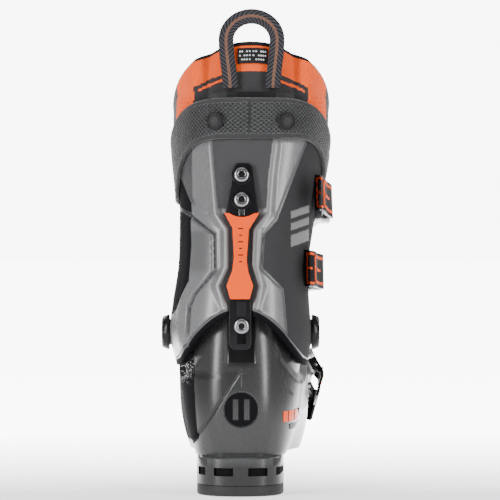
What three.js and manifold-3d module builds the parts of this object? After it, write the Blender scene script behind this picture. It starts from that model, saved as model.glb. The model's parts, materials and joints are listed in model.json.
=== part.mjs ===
// Right alpine ski boot: overlap lower shell on a two-plate sole, hinged upper cuff with a rear spine,
// four micro-adjust buckles, power strap and a removable liner.
// Millimetres, +Z up, toe towards +Y, outer (buckle) side towards +X.
// The origin is the centre of the heel plate's tread face.
import * as THREE from 'three';
import { ParametricGeometry } from 'three/addons/geometries/ParametricGeometry.js';
import { mergeVertices } from 'three/addons/utils/BufferGeometryUtils.js';
import Module from 'manifold-3d';

const wasm = await Module();
wasm.setup();
const { Vector3, Matrix4 } = THREE;

// ---- driving dimensions ----
const GAP = 0.4;                 // clearance between pieces that touch
const SOLE_LENGTH = 306;         // boot sole length, heel to toe
const HEEL_BACK = -38;           // back of the sole
const HEEL_HALF_WIDTH = 34.5;    // sole half width at the heel
const PLATE_THICK = 8;           // replaceable sole plates
const HEEL_PLATE_FRONT = 42;
const TOE_PLATE_BACK = 138;
const HEEL_LEDGE_Z = 30;         // top of the heel ledge
const TOE_LEDGE_Z = 19;          // top of the toe ledge
const FLOOR_HEEL_Z = 34;         // inside floor of the shell at the heel
const FLOOR_TOE_Z = 25;          // inside floor of the shell at the toe
const SHELL_WALL = 4;
const CUFF_WALL = 4;
const UNDER_CUFF = 2.3;          // clearance between the shell and the cuff that slides over it
const LINER_LEAD = 20;           // the liner draws in this much lower than the shell does
const LINER_FIT = 1.1;           // liner to shell
const PIVOT_Y = 38;
const PIVOT_Z = 127;
const PIVOT_HOLE_R = 6.5;        // hole for the pivot screw in shell and dial
const PIVOT_SCREW_R = 6;
const DIAL_R = 14;
const SPOILER_THICK = 3;
const LINER_WALL = 9;
const STRAP_THICK = 3;
const LOWER_BOLT_Z = 134;        // bolt of the spine's lower end
const UPPER_BOLTS_Z = [233, 252.9];
const BOLT_X = 1.2;              // bolts sit a little to the outer side
const BOLT_SHANK_R = 3;
const BOLT_HEAD_R = 6.6;
const SPINE_THICK = 3;
const INSERT_THICK = 2.2;
const FLEX_DEG = 7.5;             // free forward travel of the cuff
const LINER_TOP_Z = 361;
const LOOP_WIDTH = 12;
const BUCKLE_WIDTH = 28;

const TOE_TIP = HEEL_BACK + SOLE_LENGTH;

// ---- small maths ----
const lerp = (a, b, t) => a + (b - a) * t;
const clamp01 = (t) => Math.min(1, Math.max(0, t));
const smooth = (t) => clamp01(t) ** 2 * (3 - 2 * clamp01(t));
const signedPower = (v, p) => Math.sign(v) * Math.abs(v) ** p;

// Smooth interpolation of rows [z, value, value, ...] with slopes from the neighbouring rows.
function tableAt(rows, z) {
  const last = rows.length - 1;
  let i = rows.findIndex((row) => row[0] >= z) - 1;
  if (z >= rows[last][0]) i = last - 1;
  i = Math.max(0, i);
  const [a, b] = [rows[i], rows[i + 1]];
  const before = rows[Math.max(0, i - 1)];
  const after = rows[Math.min(last, i + 2)];
  const span = b[0] - a[0];
  const t = clamp01((z - a[0]) / span);
  return a.slice(1).map((_, k) => {
    const slopeA = (b[k + 1] - before[k + 1]) / (b[0] - before[0]) * span;
    const slopeB = (after[k + 1] - a[k + 1]) / (after[0] - a[0]) * span;
    return (2 * t ** 3 - 3 * t ** 2 + 1) * a[k + 1] + (t ** 3 - 2 * t ** 2 + t) * slopeA
      + (3 * t ** 2 - 2 * t ** 3) * b[k + 1] + (t ** 3 - t ** 2) * slopeB;
  });
}

// ---- solids ----
function solidOf(geometry) {
  const bare = geometry.index ? geometry.toNonIndexed() : geometry.clone();
  const only = new THREE.BufferGeometry().setAttribute('position', bare.getAttribute('position'));
  const merged = mergeVertices(only, 1e-3);
  const index = merged.index.array;
  const kept = [];
  for (let i = 0; i < index.length; i += 3) {
    const [a, b, c] = [index[i], index[i + 1], index[i + 2]];
    if (a !== b && b !== c && a !== c) kept.push(a, b, c);
  }
  const mesh = new wasm.Mesh({
    numProp: 3,
    vertProperties: merged.attributes.position.array,
    triVerts: new Uint32Array(kept),
  });
  const solid = new wasm.Manifold(mesh);
  if (solid.volume() >= 0) return solid;
  for (let i = 0; i < kept.length; i += 3) [kept[i], kept[i + 1]] = [kept[i + 1], kept[i]];
  return new wasm.Manifold(new wasm.Mesh({
    numProp: 3,
    vertProperties: merged.attributes.position.array,
    triVerts: new Uint32Array(kept),
  }));
}

function geometryOf(solid) {
  const mesh = solid.getMesh();
  const places = new Float32Array(mesh.numVert * 3);
  for (let i = 0; i < mesh.numVert; i++) {
    places.set(mesh.vertProperties.subarray(i * mesh.numProp, i * mesh.numProp + 3), i * 3);
  }
  const geometry = new THREE.BufferGeometry();
  geometry.setAttribute('position', new THREE.BufferAttribute(places, 3));
  geometry.setIndex(new THREE.BufferAttribute(new Uint32Array(mesh.triVerts), 1));
  return geometry;
}

const placed = (solid, matrix) => solid.transform(matrix.elements);
const box = (x0, x1, y0, y1, z0, z1) => solidOf(
  new THREE.BoxGeometry(x1 - x0, y1 - y0, z1 - z0)
    .translate((x0 + x1) / 2, (y0 + y1) / 2, (z0 + z1) / 2));

// Cylinder from point a to point b.
function rod(a, b, radius, sides = 14) {
  const along = new Vector3().subVectors(b, a);
  const geometry = new THREE.CylinderGeometry(radius, radius, along.length(), sides);
  const turn = new THREE.Quaternion().setFromUnitVectors(new Vector3(0, 1, 0), along.clone().normalize());
  const middle = a.clone().addScaledVector(along, 0.5);
  return solidOf(geometry.applyMatrix4(new Matrix4().compose(middle, turn, new Vector3(1, 1, 1))));
}

// A wall or body swept round closed rings. Each ring is a function u -> Vector3; a string of rings
// either closes on itself or is capped by its first and last rings shrinking to a point.
function ringSolid(rings, segments, closes) {
  const list = closes ? [...rings, rings[0]] : rings;
  const surface = (u, v, target) => {
    target.copy(list[Math.round(v * (list.length - 1))]((u % 1 + 1) % 1));
  };
  return solidOf(new ParametricGeometry(surface, segments, list.length - 1));
}
const polePoint = (point) => () => point;

// A flat outline of [x, z] points as a bar along Y from y0 to y1.
function barAlongY(outline, y0, y1) {
  const shape = new THREE.Shape(outline.map(([x, z]) => new THREE.Vector2(x, z)));
  const geometry = new THREE.ExtrudeGeometry(shape, { depth: y1 - y0, bevelEnabled: false });
  return solidOf(geometry.rotateX(Math.PI / 2).translate(0, y1, 0));
}

// ---- leg surface: the cuff's outside, carried on upwards as the liner's outside ----
// height, back y, front y, outer x, inner x, y of the widest place
const LEG = [
  [95, -41, 112, 54, -50, 38],
  [125, -42.5, 112, 57.5, -57, 38],
  [150, -42, 112, 56, -55, 38],
  [180, -38.5, 113.5, 55, -50.5, 39],
  [210, -32, 117, 59, -49.5, 43],
  [240, -25, 121, 63.5, -50, 47],
  [270, -18, 125, 69, -53, 52],
  [300, -11, 129, 72, -55, 56],
  [330, -4, 134, 71, -53, 61],
  [365, 4, 141, 68, -50, 66],
];
const LEG_ROUND = 0.84;          // 1 is an ellipse, lower is squarer

// u runs round the leg: 0 at the back, 0.25 outer side, 0.5 front, 0.75 inner side.
function legPoint(u, z, offset = 0) {
  const [back, front, outer, inner, wide] = tableAt(LEG, z);
  const c = Math.cos(2 * Math.PI * u);
  const s = Math.sin(2 * Math.PI * u);
  const middle = (outer + inner) / 2;
  const half = (outer - inner) / 2 + offset;
  const reach = c > 0 ? wide - back + offset : front - wide + offset;
  return new Vector3(
    middle + half * signedPower(s, LEG_ROUND),
    wide - reach * signedPower(c, LEG_ROUND),
    z);
}
const backness = (u) => Math.max(0, Math.cos(2 * Math.PI * u));
const frontness = (u) => Math.max(0, -Math.cos(2 * Math.PI * u));

const cuffBottom = (u) => 101 + 42 * backness(u) ** 3.56 + 65 * frontness(u) ** 1.6;
const cuffTop = (u) => 262 + 46 * backness(u) - 22 * frontness(u);
const strapBottom = (u) => 232 + 50 * Math.sin(backness(u) * Math.PI / 2) ** 1.5 - 6 * frontness(u)
  + 16 * Math.max(0, Math.sin(2 * Math.PI * u)) ** 3;
const strapTop = (u) => 281 + 34 * Math.sin(backness(u) * Math.PI / 2) ** 1.5 - 13 * frontness(u);
const linerBottom = (u) => 163 + 10 * frontness(u);
const linerTop = (u) => 318 + (LINER_TOP_Z - 318) * backness(u) - 10 * frontness(u);

// Wall between two offsets of the leg surface and two edges that vary round it.
function legWall(bottom, top, outside, inside, steps, segments) {
  const ring = (share, offset) => (u) => {
    const z = lerp(bottom(u), top(u), share);
    return legPoint(u, z, typeof offset === 'function' ? offset(u, z) : offset);
  };
  const rings = [];
  for (let i = 0; i <= steps; i++) rings.push(ring(i / steps, outside));
  for (let i = steps; i >= 0; i--) rings.push(ring(i / steps, inside));
  return ringSolid(rings, segments, true);
}

// ---- lower shell surface: four control rings joined by a cubic curve upwards ----
// Points run round each ring: 0 back, 3 outer arch, 6 toe tip, 9 inner arch.
const SOLE_RING = [
  [0, HEEL_BACK], [24, -30], [HEEL_HALF_WIDTH, -2], [33, 70], [36, 150], [31, 238],
  [0, TOE_TIP], [-31, 238], [-36, 150], [-31, 70], [-HEEL_HALF_WIDTH, -2], [-24, -30]];
const FOOT_RING = [
  [0, -32, 31], [23, -24, 31], [36, 2, 31], [38, 72, 29], [50, 160, 24], [34, 228, 21],
  [2, 250, 20.5], [-32, 226, 21], [-43, 168, 24], [-35, 80, 29], [-35, 2, 31], [-23, -24, 31]];
const BULGE_RING = [
  [0, -45, 66], [29, -36, 66], [49, 2, 66], [58, 78, 66], [66, 158, 66], [50, 234, 74],
  [2, 262, 78], [-46, 232, 74], [-60, 168, 66], [-52, 82, 66], [-46, 2, 66], [-29, -36, 66]];
const SHIN_RING = [
  [0, -38, 112], [25, -31, 112], [49, 2, 112], [56, 50, 112], [50, 128, 108], [28, 178, 98],
  [2, 200, 94], [-24, 178, 98], [-46, 128, 108], [-53, 52, 112], [-47, 2, 112], [-25, -31, 112]];
const THROAT_RING = [
  [0, -27, 158], [23, -20, 154], [41, 4, 148], [50, 38, 146], [40, 78, 146], [22, 99, 148],
  [2, 105, 149], [-18, 99, 148], [-37, 78, 146], [-48.5, 38, 146], [-40, 4, 148], [-23, -20, 154]];

const closedCurve = (points) => new THREE.CatmullRomCurve3(
  points.map(([x, y, z = 0]) => new Vector3(x, y, z)), true, 'catmullrom', 0.5);
const soleCurve = closedCurve(SOLE_RING);
const controls = [FOOT_RING, BULGE_RING, SHIN_RING, THROAT_RING].map(closedCurve);
const soleTop = (y) => lerp(HEEL_LEDGE_Z, TOE_LEDGE_Z, smooth((y - 60) / 120));

function shellOuter(u, v) {
  const [a, b, c, d] = controls.map((curve) => curve.getPoint(u));
  const w = 1 - v;
  return a.multiplyScalar(w ** 3).addScaledVector(b, 3 * w * w * v)
    .addScaledVector(c, 3 * w * v * v).addScaledVector(d, v ** 3);
}
// How far a point lies outside the cuff's inside, less a clearance (1 is on it), and the share of
// the way round it.
function againstCuff({ x, y, z }, inset) {
  const [back, front, outer, inner, wide] = tableAt(LEG, z);
  const inside = CUFF_WALL + UNDER_CUFF + inset;
  const centre = new Vector3((outer + inner) / 2, wide, z);
  const across = (x - centre.x) / ((outer - inner) / 2 - inside);
  const along = (wide - y) / ((y < wide ? wide - back : front - wide) - inside);
  const power = 2 / LEG_ROUND;
  const size = Math.max(1, (Math.abs(across) ** power + Math.abs(along) ** power) ** (1 / power));
  const turn = signedPower(along / size, 1 / LEG_ROUND);
  const u = Math.acos(Math.max(-1, Math.min(1, turn))) / (2 * Math.PI);
  return { size, u, centre };
}
// The lower shell's surface, moved inwards along its normal and drawn in where it passes under the
// cuff, so that the cuff has room to flex.
function shellPoint(u, v, inset) {
  const point = shellOuter(u, v);
  const step = 0.004;
  const round = shellOuter((u + step) % 1, v).sub(shellOuter((u - step + 1) % 1, v));
  const up = shellOuter(u, v + step).sub(shellOuter(u, v - step));
  const around = againstCuff(point, 0).u;
  const lead = 16 + 17 * frontness(around) + (inset > SHELL_WALL ? LINER_LEAD : 0);
  const cover = smooth((point.z - cuffBottom(around) + lead) / 10);
  point.addScaledVector(round.cross(up).normalize(), -inset);
  const { size, centre } = againstCuff(point, inset);
  return point.sub(centre).multiplyScalar(lerp(1, 1 / size, cover)).add(centre);
}
const solePoint = (u, inset, z) => {
  const p = soleCurve.getPoint(u);
  const centre = new Vector3(0, 100, 0);
  const out = p.clone().sub(centre).setLength(1);
  return new Vector3(p.x - out.x * inset, p.y - out.y * inset, z ?? soleTop(p.y));
};
const floorZ = (y) => lerp(FLOOR_HEEL_Z, FLOOR_TOE_Z, y / 240);

const nodes = new THREE.Group();
const PAINT = {
  shell: [0x5a5b5d, 0.42, 0], dark: [0x1b1c1e, 0.55, 0], cuff: [0x77787a, 0.4, 0], orange: [0xf0672a, 0.45, 0],
  steel: [0xb9bbbd, 0.3, 1], rubber: [0x151517, 0.85, 0], fabric: [0x232426, 0.95, 0], foam: [0xe0641f, 0.95, 0],
};
function add(name, solid, paint) {
  const [color, roughness, metalness] = PAINT[paint];
  const mesh = new THREE.Mesh(geometryOf(solid), new THREE.MeshStandardMaterial({ color, roughness, metalness }));
  mesh.name = name;
  nodes.add(mesh);
}

// Everything between two heights above the sloping inside floor.
function floorSlab(low, high) {
  const [back, front] = [-80, 300];
  const side = [[back, floorZ(back) + low], [front, floorZ(front) + low],
    [front, floorZ(front) + high], [back, floorZ(back) + high]];
  return placed(barAlongY(side, -90, 90), new Matrix4().makeRotationZ(Math.PI / 2));
}

// Everything inside a given inset of the lower shell, with the shell's own facets.
const SHELL_STEPS = 12;
const SHELL_SEGMENTS = 40;
function shellCore(inset) {
  const rings = [polePoint(new Vector3(0, 95, 22))];
  for (let i = inset > 0 ? 1 : 0; i <= SHELL_STEPS; i++) rings.push((u) => shellPoint(u, i / SHELL_STEPS, inset));
  rings.push(polePoint(new Vector3(0, 38, 150)));
  return ringSolid(rings, SHELL_SEGMENTS, false);
}

// A pad between two offsets of a surface: at(a, b, offset), a and b between the given limits.
function padOn(at, [a0, a1], [b0, b1], inside, outside, stepsA, stepsB) {
  const around = 2 * stepsA + 2;
  const limit = (value, a) => (typeof value === 'function' ? value(a) : value);
  const ring = (share) => (w) => {
    const i = Math.round(w * around) % around;
    const a = lerp(a0, a1, (i <= stepsA ? i : around - 1 - i) / stepsA);
    return at(a, lerp(limit(b0, a), limit(b1, a), share), i <= stepsA ? outside : inside);
  };
  const middle = (share) => {
    const a = (a0 + a1) / 2;
    return at(a, lerp(limit(b0, a), limit(b1, a), share), (inside + outside) / 2);
  };
  const rings = [polePoint(middle(0))];
  for (let i = 0; i <= stepsB; i++) rings.push(ring(i / stepsB));
  rings.push(polePoint(middle(1)));
  return ringSolid(rings, around, false);
}
const wrap = (u) => (u % 1 + 1) % 1;
const onLeg = (u, z, offset) => legPoint(wrap(u), z, offset);
const onShell = (u, v, offset) => shellPoint(wrap(u), v, -offset);

// ---- sole plates and their screws ----
function soleBlock(z0, z1) {
  return ringSolid([polePoint(new Vector3(0, 110, z0)), (u) => solePoint(u, 0, z0),
    (u) => solePoint(u, 0, z1), polePoint(new Vector3(0, 110, z1))], 48, false);
}
const SCREW_X = 20;
const SCREW_YS = { heel: [-12, 26], toe: [160, 222] };
const SCREW_HEAD_R = 4;
const SCREW_SHANK_R = 2.2;
const SCREW_HEAD_Z = [0.8, 3.6];
const SCREW_END_Z = 16;
const screwPlaces = Object.entries(SCREW_YS).flatMap(([plate, ys]) => ys.flatMap(
  (y, row) => [-1, 1].map((side) => ({ plate, x: side * SCREW_X, y, number: 2 * row + (side > 0 ? 2 : 1) }))));

function soleScrew({ x, y }) {
  const at = (z) => new Vector3(x, y, z);
  return rod(at(SCREW_HEAD_Z[0]), at(SCREW_HEAD_Z[1]), SCREW_HEAD_R, 12)
    .add(rod(at(SCREW_HEAD_Z[1] - 0.5), at(SCREW_END_Z), SCREW_SHANK_R, 8))
    .subtract(rod(at(0), at(SCREW_HEAD_Z[0] + 1.6), 1.7, 6));
}
function screwHoles(solid, places) {
  let cut = solid;
  for (const { x, y } of places) {
    const at = (z) => new Vector3(x, y, z);
    cut = cut.subtract(rod(at(-1), at(SCREW_HEAD_Z[1] + GAP), SCREW_HEAD_R + GAP, 12));
    cut = cut.subtract(rod(at(-1), at(SCREW_END_Z + GAP), SCREW_SHANK_R + GAP, 8));
  }
  return cut;
}
const block = soleBlock(0, PLATE_THICK);
const heelPlaces = screwPlaces.filter((place) => place.plate === 'heel');
const toePlaces = screwPlaces.filter((place) => place.plate === 'toe');
add('heel_sole_plate', screwHoles(block.intersect(
  box(-60, 60, HEEL_BACK - 5, HEEL_PLATE_FRONT, -1, 40)), heelPlaces), 'rubber');
add('toe_sole_plate', screwHoles(block.intersect(
  box(-60, 60, TOE_PLATE_BACK, TOE_TIP + 5, -1, 40)), toePlaces), 'rubber');
for (const place of screwPlaces) add(`${place.plate}_plate_screw_${place.number}`, soleScrew(place), 'steel');

// ---- lower shell ----
const pivotAxis = (x0, x1, radius, sides = 20) => rod(
  new Vector3(x0, PIVOT_Y, PIVOT_Z), new Vector3(x1, PIVOT_Y, PIVOT_Z), radius, sides);
const lowerBoltAxis = (y0, y1, radius, sides = 14) => rod(
  new Vector3(BOLT_X, y0, LOWER_BOLT_Z), new Vector3(BOLT_X, y1, LOWER_BOLT_Z), radius, sides);

function lowerShell() {
  const bottom = PLATE_THICK + GAP;
  const rings = [polePoint(new Vector3(0, 110, bottom)), (u) => solePoint(u, 0, bottom), (u) => solePoint(u, 0)];
  for (let i = 0; i <= SHELL_STEPS; i++) rings.push((u) => shellPoint(u, i / SHELL_STEPS, 0));
  for (let i = SHELL_STEPS; i >= 1; i--) rings.push((u) => shellPoint(u, i / SHELL_STEPS, SHELL_WALL));
  rings.push((u) => {
    const p = shellPoint(u, 0.06, SHELL_WALL);
    return new Vector3(p.x, p.y, floorZ(p.y));
  });
  rings.push(polePoint(new Vector3(0, 100, floorZ(100))));
  return screwHoles(ringSolid(rings, SHELL_SEGMENTS, false), screwPlaces)
    .subtract(pivotAxis(-80, 80, PIVOT_HOLE_R))
    .subtract(lowerBoltAxis(-60, 0, BOLT_SHANK_R + GAP / 2));
}
add('lower_shell', lowerShell(), 'shell');

// ---- boot board, liner foot and footbed, inside the shell ----
const BOARD_THICK = 10;
const LINER_SOLE = 6;
const FOOTBED_THICK = 3;
const LINER_FOOT_HEIGHT = 95;
const inShell = shellCore(SHELL_WALL + LINER_FIT);
const inLiner = shellCore(SHELL_WALL + LINER_FIT + LINER_WALL);
const linerFloor = BOARD_THICK + 2 * GAP;
add('boot_board', inShell.intersect(floorSlab(GAP, BOARD_THICK)), 'dark');
add('liner_foot', inShell.intersect(floorSlab(linerFloor, LINER_FOOT_HEIGHT))
  .subtract(inLiner.intersect(floorSlab(linerFloor + LINER_SOLE, 160))), 'fabric');
add('footbed', shellCore(SHELL_WALL + 2 * LINER_FIT + LINER_WALL)
  .intersect(floorSlab(linerFloor + LINER_SOLE + GAP, linerFloor + LINER_SOLE + GAP + FOOTBED_THICK)), 'foam');
add('instep_gasket', padOn(onShell, [0.53, 0.6], [0.56, 0.84], GAP, 2.2, 6, 4), 'rubber');

// ---- cuff with its pivots ----
const DIAL_SEAT_R = 10.5;
const CUFF_STEPS = 7;
const CUFF_SEGMENTS = 44;
const rivetPlaces = [-0.0575, 0.0575];
const RIVET_Z = 296;
const RIVET_R = 7.2;
const RIVET_SHANK_R = 2.4;
const legNormal = (u, z) => {
  const round = onLeg(u + 0.004, z, 0).sub(onLeg(u - 0.004, z, 0));
  const up = onLeg(u, z + 1, 0).sub(onLeg(u, z - 1, 0));
  return round.cross(up).normalize();
};
function rivetRod(u, from, to, radius, sides) {
  const foot = onLeg(u, RIVET_Z, 0);
  const out = legNormal(u, RIVET_Z);
  return rod(foot.clone().addScaledVector(out, from), foot.clone().addScaledVector(out, to), radius, sides);
}
function upperBoltRod(z, from, to, radius, sides) {
  const foot = new Vector3(BOLT_X, onLeg(0.004, z, 0).y, z);
  const out = legNormal(0.004, z);
  return rod(foot.clone().addScaledVector(out, from), foot.clone().addScaledVector(out, to), radius, sides);
}

function cuff() {
  let solid = legWall(cuffBottom, cuffTop, 0, -CUFF_WALL, CUFF_STEPS, CUFF_SEGMENTS)
    .subtract(pivotAxis(-80, 80, DIAL_SEAT_R + GAP / 2, 24))
    .subtract(box(-9, -7.4, 60, 200, 100, 400));
  for (const z of UPPER_BOLTS_Z) solid = solid.subtract(upperBoltRod(z, -12, 8, BOLT_SHANK_R + GAP / 2, 14));
  for (const u of rivetPlaces) solid = solid.subtract(rivetRod(u, -9, 9, RIVET_SHANK_R + GAP / 2, 12));
  return solid;
}
add('cuff', cuff(), 'cuff');

const SIDES = { outer: 1, inner: -1 };
for (const [side, sign] of Object.entries(SIDES)) {
  const skin = Math.abs(onLeg(sign > 0 ? 0.25 : 0.75, PIVOT_Z, 0).x);
  const along = (from, to, radius, sides) => pivotAxis(sign * from, sign * to, radius, sides);
  const face = skin + 0.8;
  add(`cant_dial_${side}`, along(skin - CUFF_WALL + 0.2, face, DIAL_SEAT_R, 24)
    .add(along(face - 0.4, face + 2.6, DIAL_R, 28))
    .subtract(along(30, 80, PIVOT_HOLE_R, 20)), 'dark');
  add(`pivot_screw_${side}`, along(skin - 9.4, face + 3.4, PIVOT_SCREW_R, 20)
    .add(along(face + 3, face + 5, PIVOT_SCREW_R + 2, 20))
    .subtract(along(face + 1.5, face + 7, 3, 6)), 'steel');
}

// ---- rear spoiler, spine and bolts ----
add('rear_spoiler', padOn(onLeg, [-0.088, 0.088], [(u) => 268, (u) => 320 - 2200 * u * u * Math.abs(u)],
  -CUFF_WALL - GAP - SPOILER_THICK, -CUFF_WALL - GAP, 8, 4)
  .subtract(rivetRod(-0.0575, -12, 9, RIVET_SHANK_R + GAP, 12))
  .subtract(rivetRod(0.0575, -12, 9, RIVET_SHANK_R + GAP, 12)), 'dark');

const mirrored = (half, x = BOLT_X) => [
  ...half.map(([z, w]) => [x + w, z]), ...[...half].reverse().map(([z, w]) => [x - w, z])];
const SPINE_HALF = [[115.5, 8], [118.5, 10.5], [150, 10.5], [162, 13], [172, 10.6], [182, 8.5], [198, 8.9],
  [208, 11.6], [224, 16.4], [240, 12.8], [256, 9.6], [262, 5.5]];
const INSERT_HALF = [[153.6, 8], [162, 10.5], [172, 8.2], [182, 6.3], [198, 6.6], [208, 9.2], [222, 14.2]];
const SLOT_DROP = (PIVOT_Y - onLeg(0, LOWER_BOLT_Z, 0).y) * Math.sin(FLEX_DEG * Math.PI / 180);
const legBand = (z0, z1, inside, outside) => legWall(() => z0, () => z1, outside, inside, 12, 60);
const spineSlot = box(BOLT_X - BOLT_SHANK_R - 0.5, BOLT_X + BOLT_SHANK_R + 0.5, -70, 0,
  LOWER_BOLT_Z - SLOT_DROP - BOLT_SHANK_R - 0.4, LOWER_BOLT_Z + BOLT_SHANK_R + 0.5);
let spine = barAlongY(mirrored(SPINE_HALF), -90, 0)
  .intersect(legBand(100, 275, GAP, GAP + SPINE_THICK)).subtract(spineSlot);
for (const z of UPPER_BOLTS_Z) spine = spine.subtract(upperBoltRod(z, -9, 12, BOLT_SHANK_R + GAP / 2, 14));
add('spine_plate', spine, 'dark');
add('spine_insert', barAlongY([...mirrored(INSERT_HALF), [BOLT_X, 219]].slice(0, 14), -90, 0)
  .intersect(legBand(100, 275, 2 * GAP + SPINE_THICK, 2 * GAP + SPINE_THICK + INSERT_THICK)), 'orange');

UPPER_BOLTS_Z.forEach((z, i) => {
  const seat = SPINE_THICK + 2.4 * GAP;
  add(`spine_bolt_upper_${i + 1}`, upperBoltRod(z, -CUFF_WALL + 0.5, seat + 1, BOLT_SHANK_R, 14)
    .add(upperBoltRod(z, seat, seat + 2.8, BOLT_HEAD_R, 18))
    .subtract(upperBoltRod(z, seat + 1, seat + 5, 2.3, 6)), 'steel');
});
{
  const shellBack = shellPoint(0, 0.86, 0).y;
  const head = onLeg(0, LOWER_BOLT_Z, 0).y - GAP - SPINE_THICK - 0.8;
  add('spine_bolt_lower', lowerBoltAxis(head - 1, shellBack + SHELL_WALL - 1.2, BOLT_SHANK_R)
    .add(lowerBoltAxis(head - 2.8, head, BOLT_HEAD_R, 18))
    .subtract(lowerBoltAxis(head - 5, head - 1, 2.3, 6)), 'steel');
}

// ---- liner cuff, tongue, strap and loops ----
const behindSpoiler = (u) => smooth((backness(u) - 0.68) / 0.13);
const linerSkin = (u, z) => {
  const tucked = -CUFF_WALL - 1.8 - (SPOILER_THICK + GAP) * behindSpoiler(u);
  return lerp(tucked, 0, smooth((z - cuffTop(u) - 1) / 22) * (1 - behindSpoiler(u)));
};
const TONGUE_HALF = 0.085;
const TONGUE_Z = [178, 346];
function linerCuff() {
  const gap = padOn(onLeg, [0.5 - TONGUE_HALF - 0.004, 0.5 + TONGUE_HALF + 0.004], [140, 400], -40, 12, 8, 10);
  return legWall(linerBottom, linerTop, linerSkin, (u, z) => linerSkin(u, z) - LINER_WALL, 9, 40).subtract(gap);
}
add('liner_cuff', linerCuff(), 'foam');
add('tongue', padOn(onLeg, [0.5 - TONGUE_HALF, 0.5 + TONGUE_HALF], TONGUE_Z,
  -CUFF_WALL - 0.7 - LINER_WALL, -CUFF_WALL - 0.7, 8, 8), 'fabric');

let strap = legWall(strapBottom, strapTop, 0.6 + STRAP_THICK, 0.6, 3, 44);
for (const u of rivetPlaces) strap = strap.subtract(rivetRod(u, -9, 9, RIVET_SHANK_R + GAP / 2, 12));
add('power_strap', strap, 'fabric');
rivetPlaces.forEach((u, i) => {
  const seat = 0.6 + STRAP_THICK + GAP + 0.5;
  add(`strap_rivet_${i + 1}`, rivetRod(u, -CUFF_WALL + 0.5, seat + 1, RIVET_SHANK_R, 10)
    .add(rivetRod(u, seat, seat + 2, RIVET_R, 20)), 'dark');
});
add('strap_end_flap', padOn(onLeg, [0.29, 0.42], [(u) => strapBottom(u) + 6, (u) => strapTop(u) - 4],
  STRAP_THICK + 1.4, STRAP_THICK + 3.8, 7, 2), 'fabric');

// A flat webbing loop standing in the XZ plane, from an outer oval less an inner one.
function webbingLoop(centreX, halfSpan, footZ, topZ, width, y, thick, lean) {
  const oval = (inset) => {
    const points = [];
    const [half, top] = [halfSpan + width / 2 - inset, topZ - inset];
    const bend = topZ - halfSpan * 1.25;
    points.push([centreX + half * 0.84, footZ]);
    for (let i = 0; i <= 12; i++) {
      const angle = Math.PI * i / 12;
      points.push([centreX + half * Math.cos(angle), bend + (top - bend) * Math.sin(angle)]);
    }
    points.push([centreX - half * 0.84, footZ]);
    return points;
  };
  const flat = barAlongY(oval(0), 0, thick)
    .subtract(barAlongY(oval(width).map(([x, z]) => [x, z === footZ ? z - 1 : z]), -1, thick + 1));
  return placed(flat, new Matrix4().makeTranslation(0, y, footZ)
    .multiply(new Matrix4().makeRotationX(-lean)).multiply(new Matrix4().makeTranslation(0, 0, -footZ)));
}
const LOOP_FOOT_Z = 323;
const LEAN = 0.2;
const loopX = onLeg(0, 345, 0).x;
const linerBack = onLeg(0, LOOP_FOOT_Z, linerSkin(0, LOOP_FOOT_Z)).y;
add('pull_loop_rear', webbingLoop(loopX, 25.5 - LOOP_WIDTH / 2 + 1, LOOP_FOOT_Z, 389, LOOP_WIDTH,
  linerBack - 3.6 - GAP, 3.2, LEAN), 'fabric');
const tongueFront = onLeg(0.5, LOOP_FOOT_Z, -CUFF_WALL - 0.7).y;
add('pull_loop_front', webbingLoop(loopX, 15, LOOP_FOOT_Z, 368, LOOP_WIDTH, tongueFront + GAP, 3, LEAN * 0.9), 'fabric');

// ---- buckles ----
// A buckle's own frame: x forwards to the ladder, y along the hinge, z out of the skin.
const HINGE_N = 8;
const CROSS_PIN = [-10, 8.5];
const HOOK_REACH = 30;
const TOOTH_PITCH = 9;
// lever length behind the hinge, its height over the skin, and the number of ladder teeth
const CUFF_LEVER = [48, 6.2, 4];
const FOOT_LEVER = [36, 9, 3];

// Frame of a track (a function of one value that runs over a surface) at value t0.
function buckleFrame(track, t0, step) {
  const origin = track(t0, 0);
  const forward = track(t0 + step, 0).sub(track(t0 - step, 0)).normalize();
  const out = track(t0, 1).sub(origin);
  out.addScaledVector(forward, -out.dot(forward)).normalize();
  const hinge = new Vector3().crossVectors(out, forward);
  const matrix = new Matrix4().makeBasis(forward, hinge, out).setPosition(origin);
  const inverse = matrix.clone().invert();
  // Height and slope of the skin at a distance f along x.
  const skin = (f) => {
    let t = t0;
    const stride = step * Math.sign(f || 1) * 0.5;
    for (let i = 0; i < 400; i++) {
      const here = track(t, 0).applyMatrix4(inverse);
      if (Math.abs(here.x) >= Math.abs(f)) break;
      t += stride;
    }
    const here = track(t, 0).applyMatrix4(inverse);
    const next = track(t + step, 0).applyMatrix4(inverse);
    return { n: here.z, slope: Math.atan2(next.z - here.z, next.x - here.x) };
  };
  return { matrix, skin };
}
const turned = (solid, angle, x, z) => placed(solid, new Matrix4().makeTranslation(x, 0, z)
  .multiply(new Matrix4().makeRotationY(angle)));
const pinAlongY = (x, z, y0, y1, radius, sides = 12) => rod(
  new Vector3(x, y0, z), new Vector3(x, y1, z), radius, sides);

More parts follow.
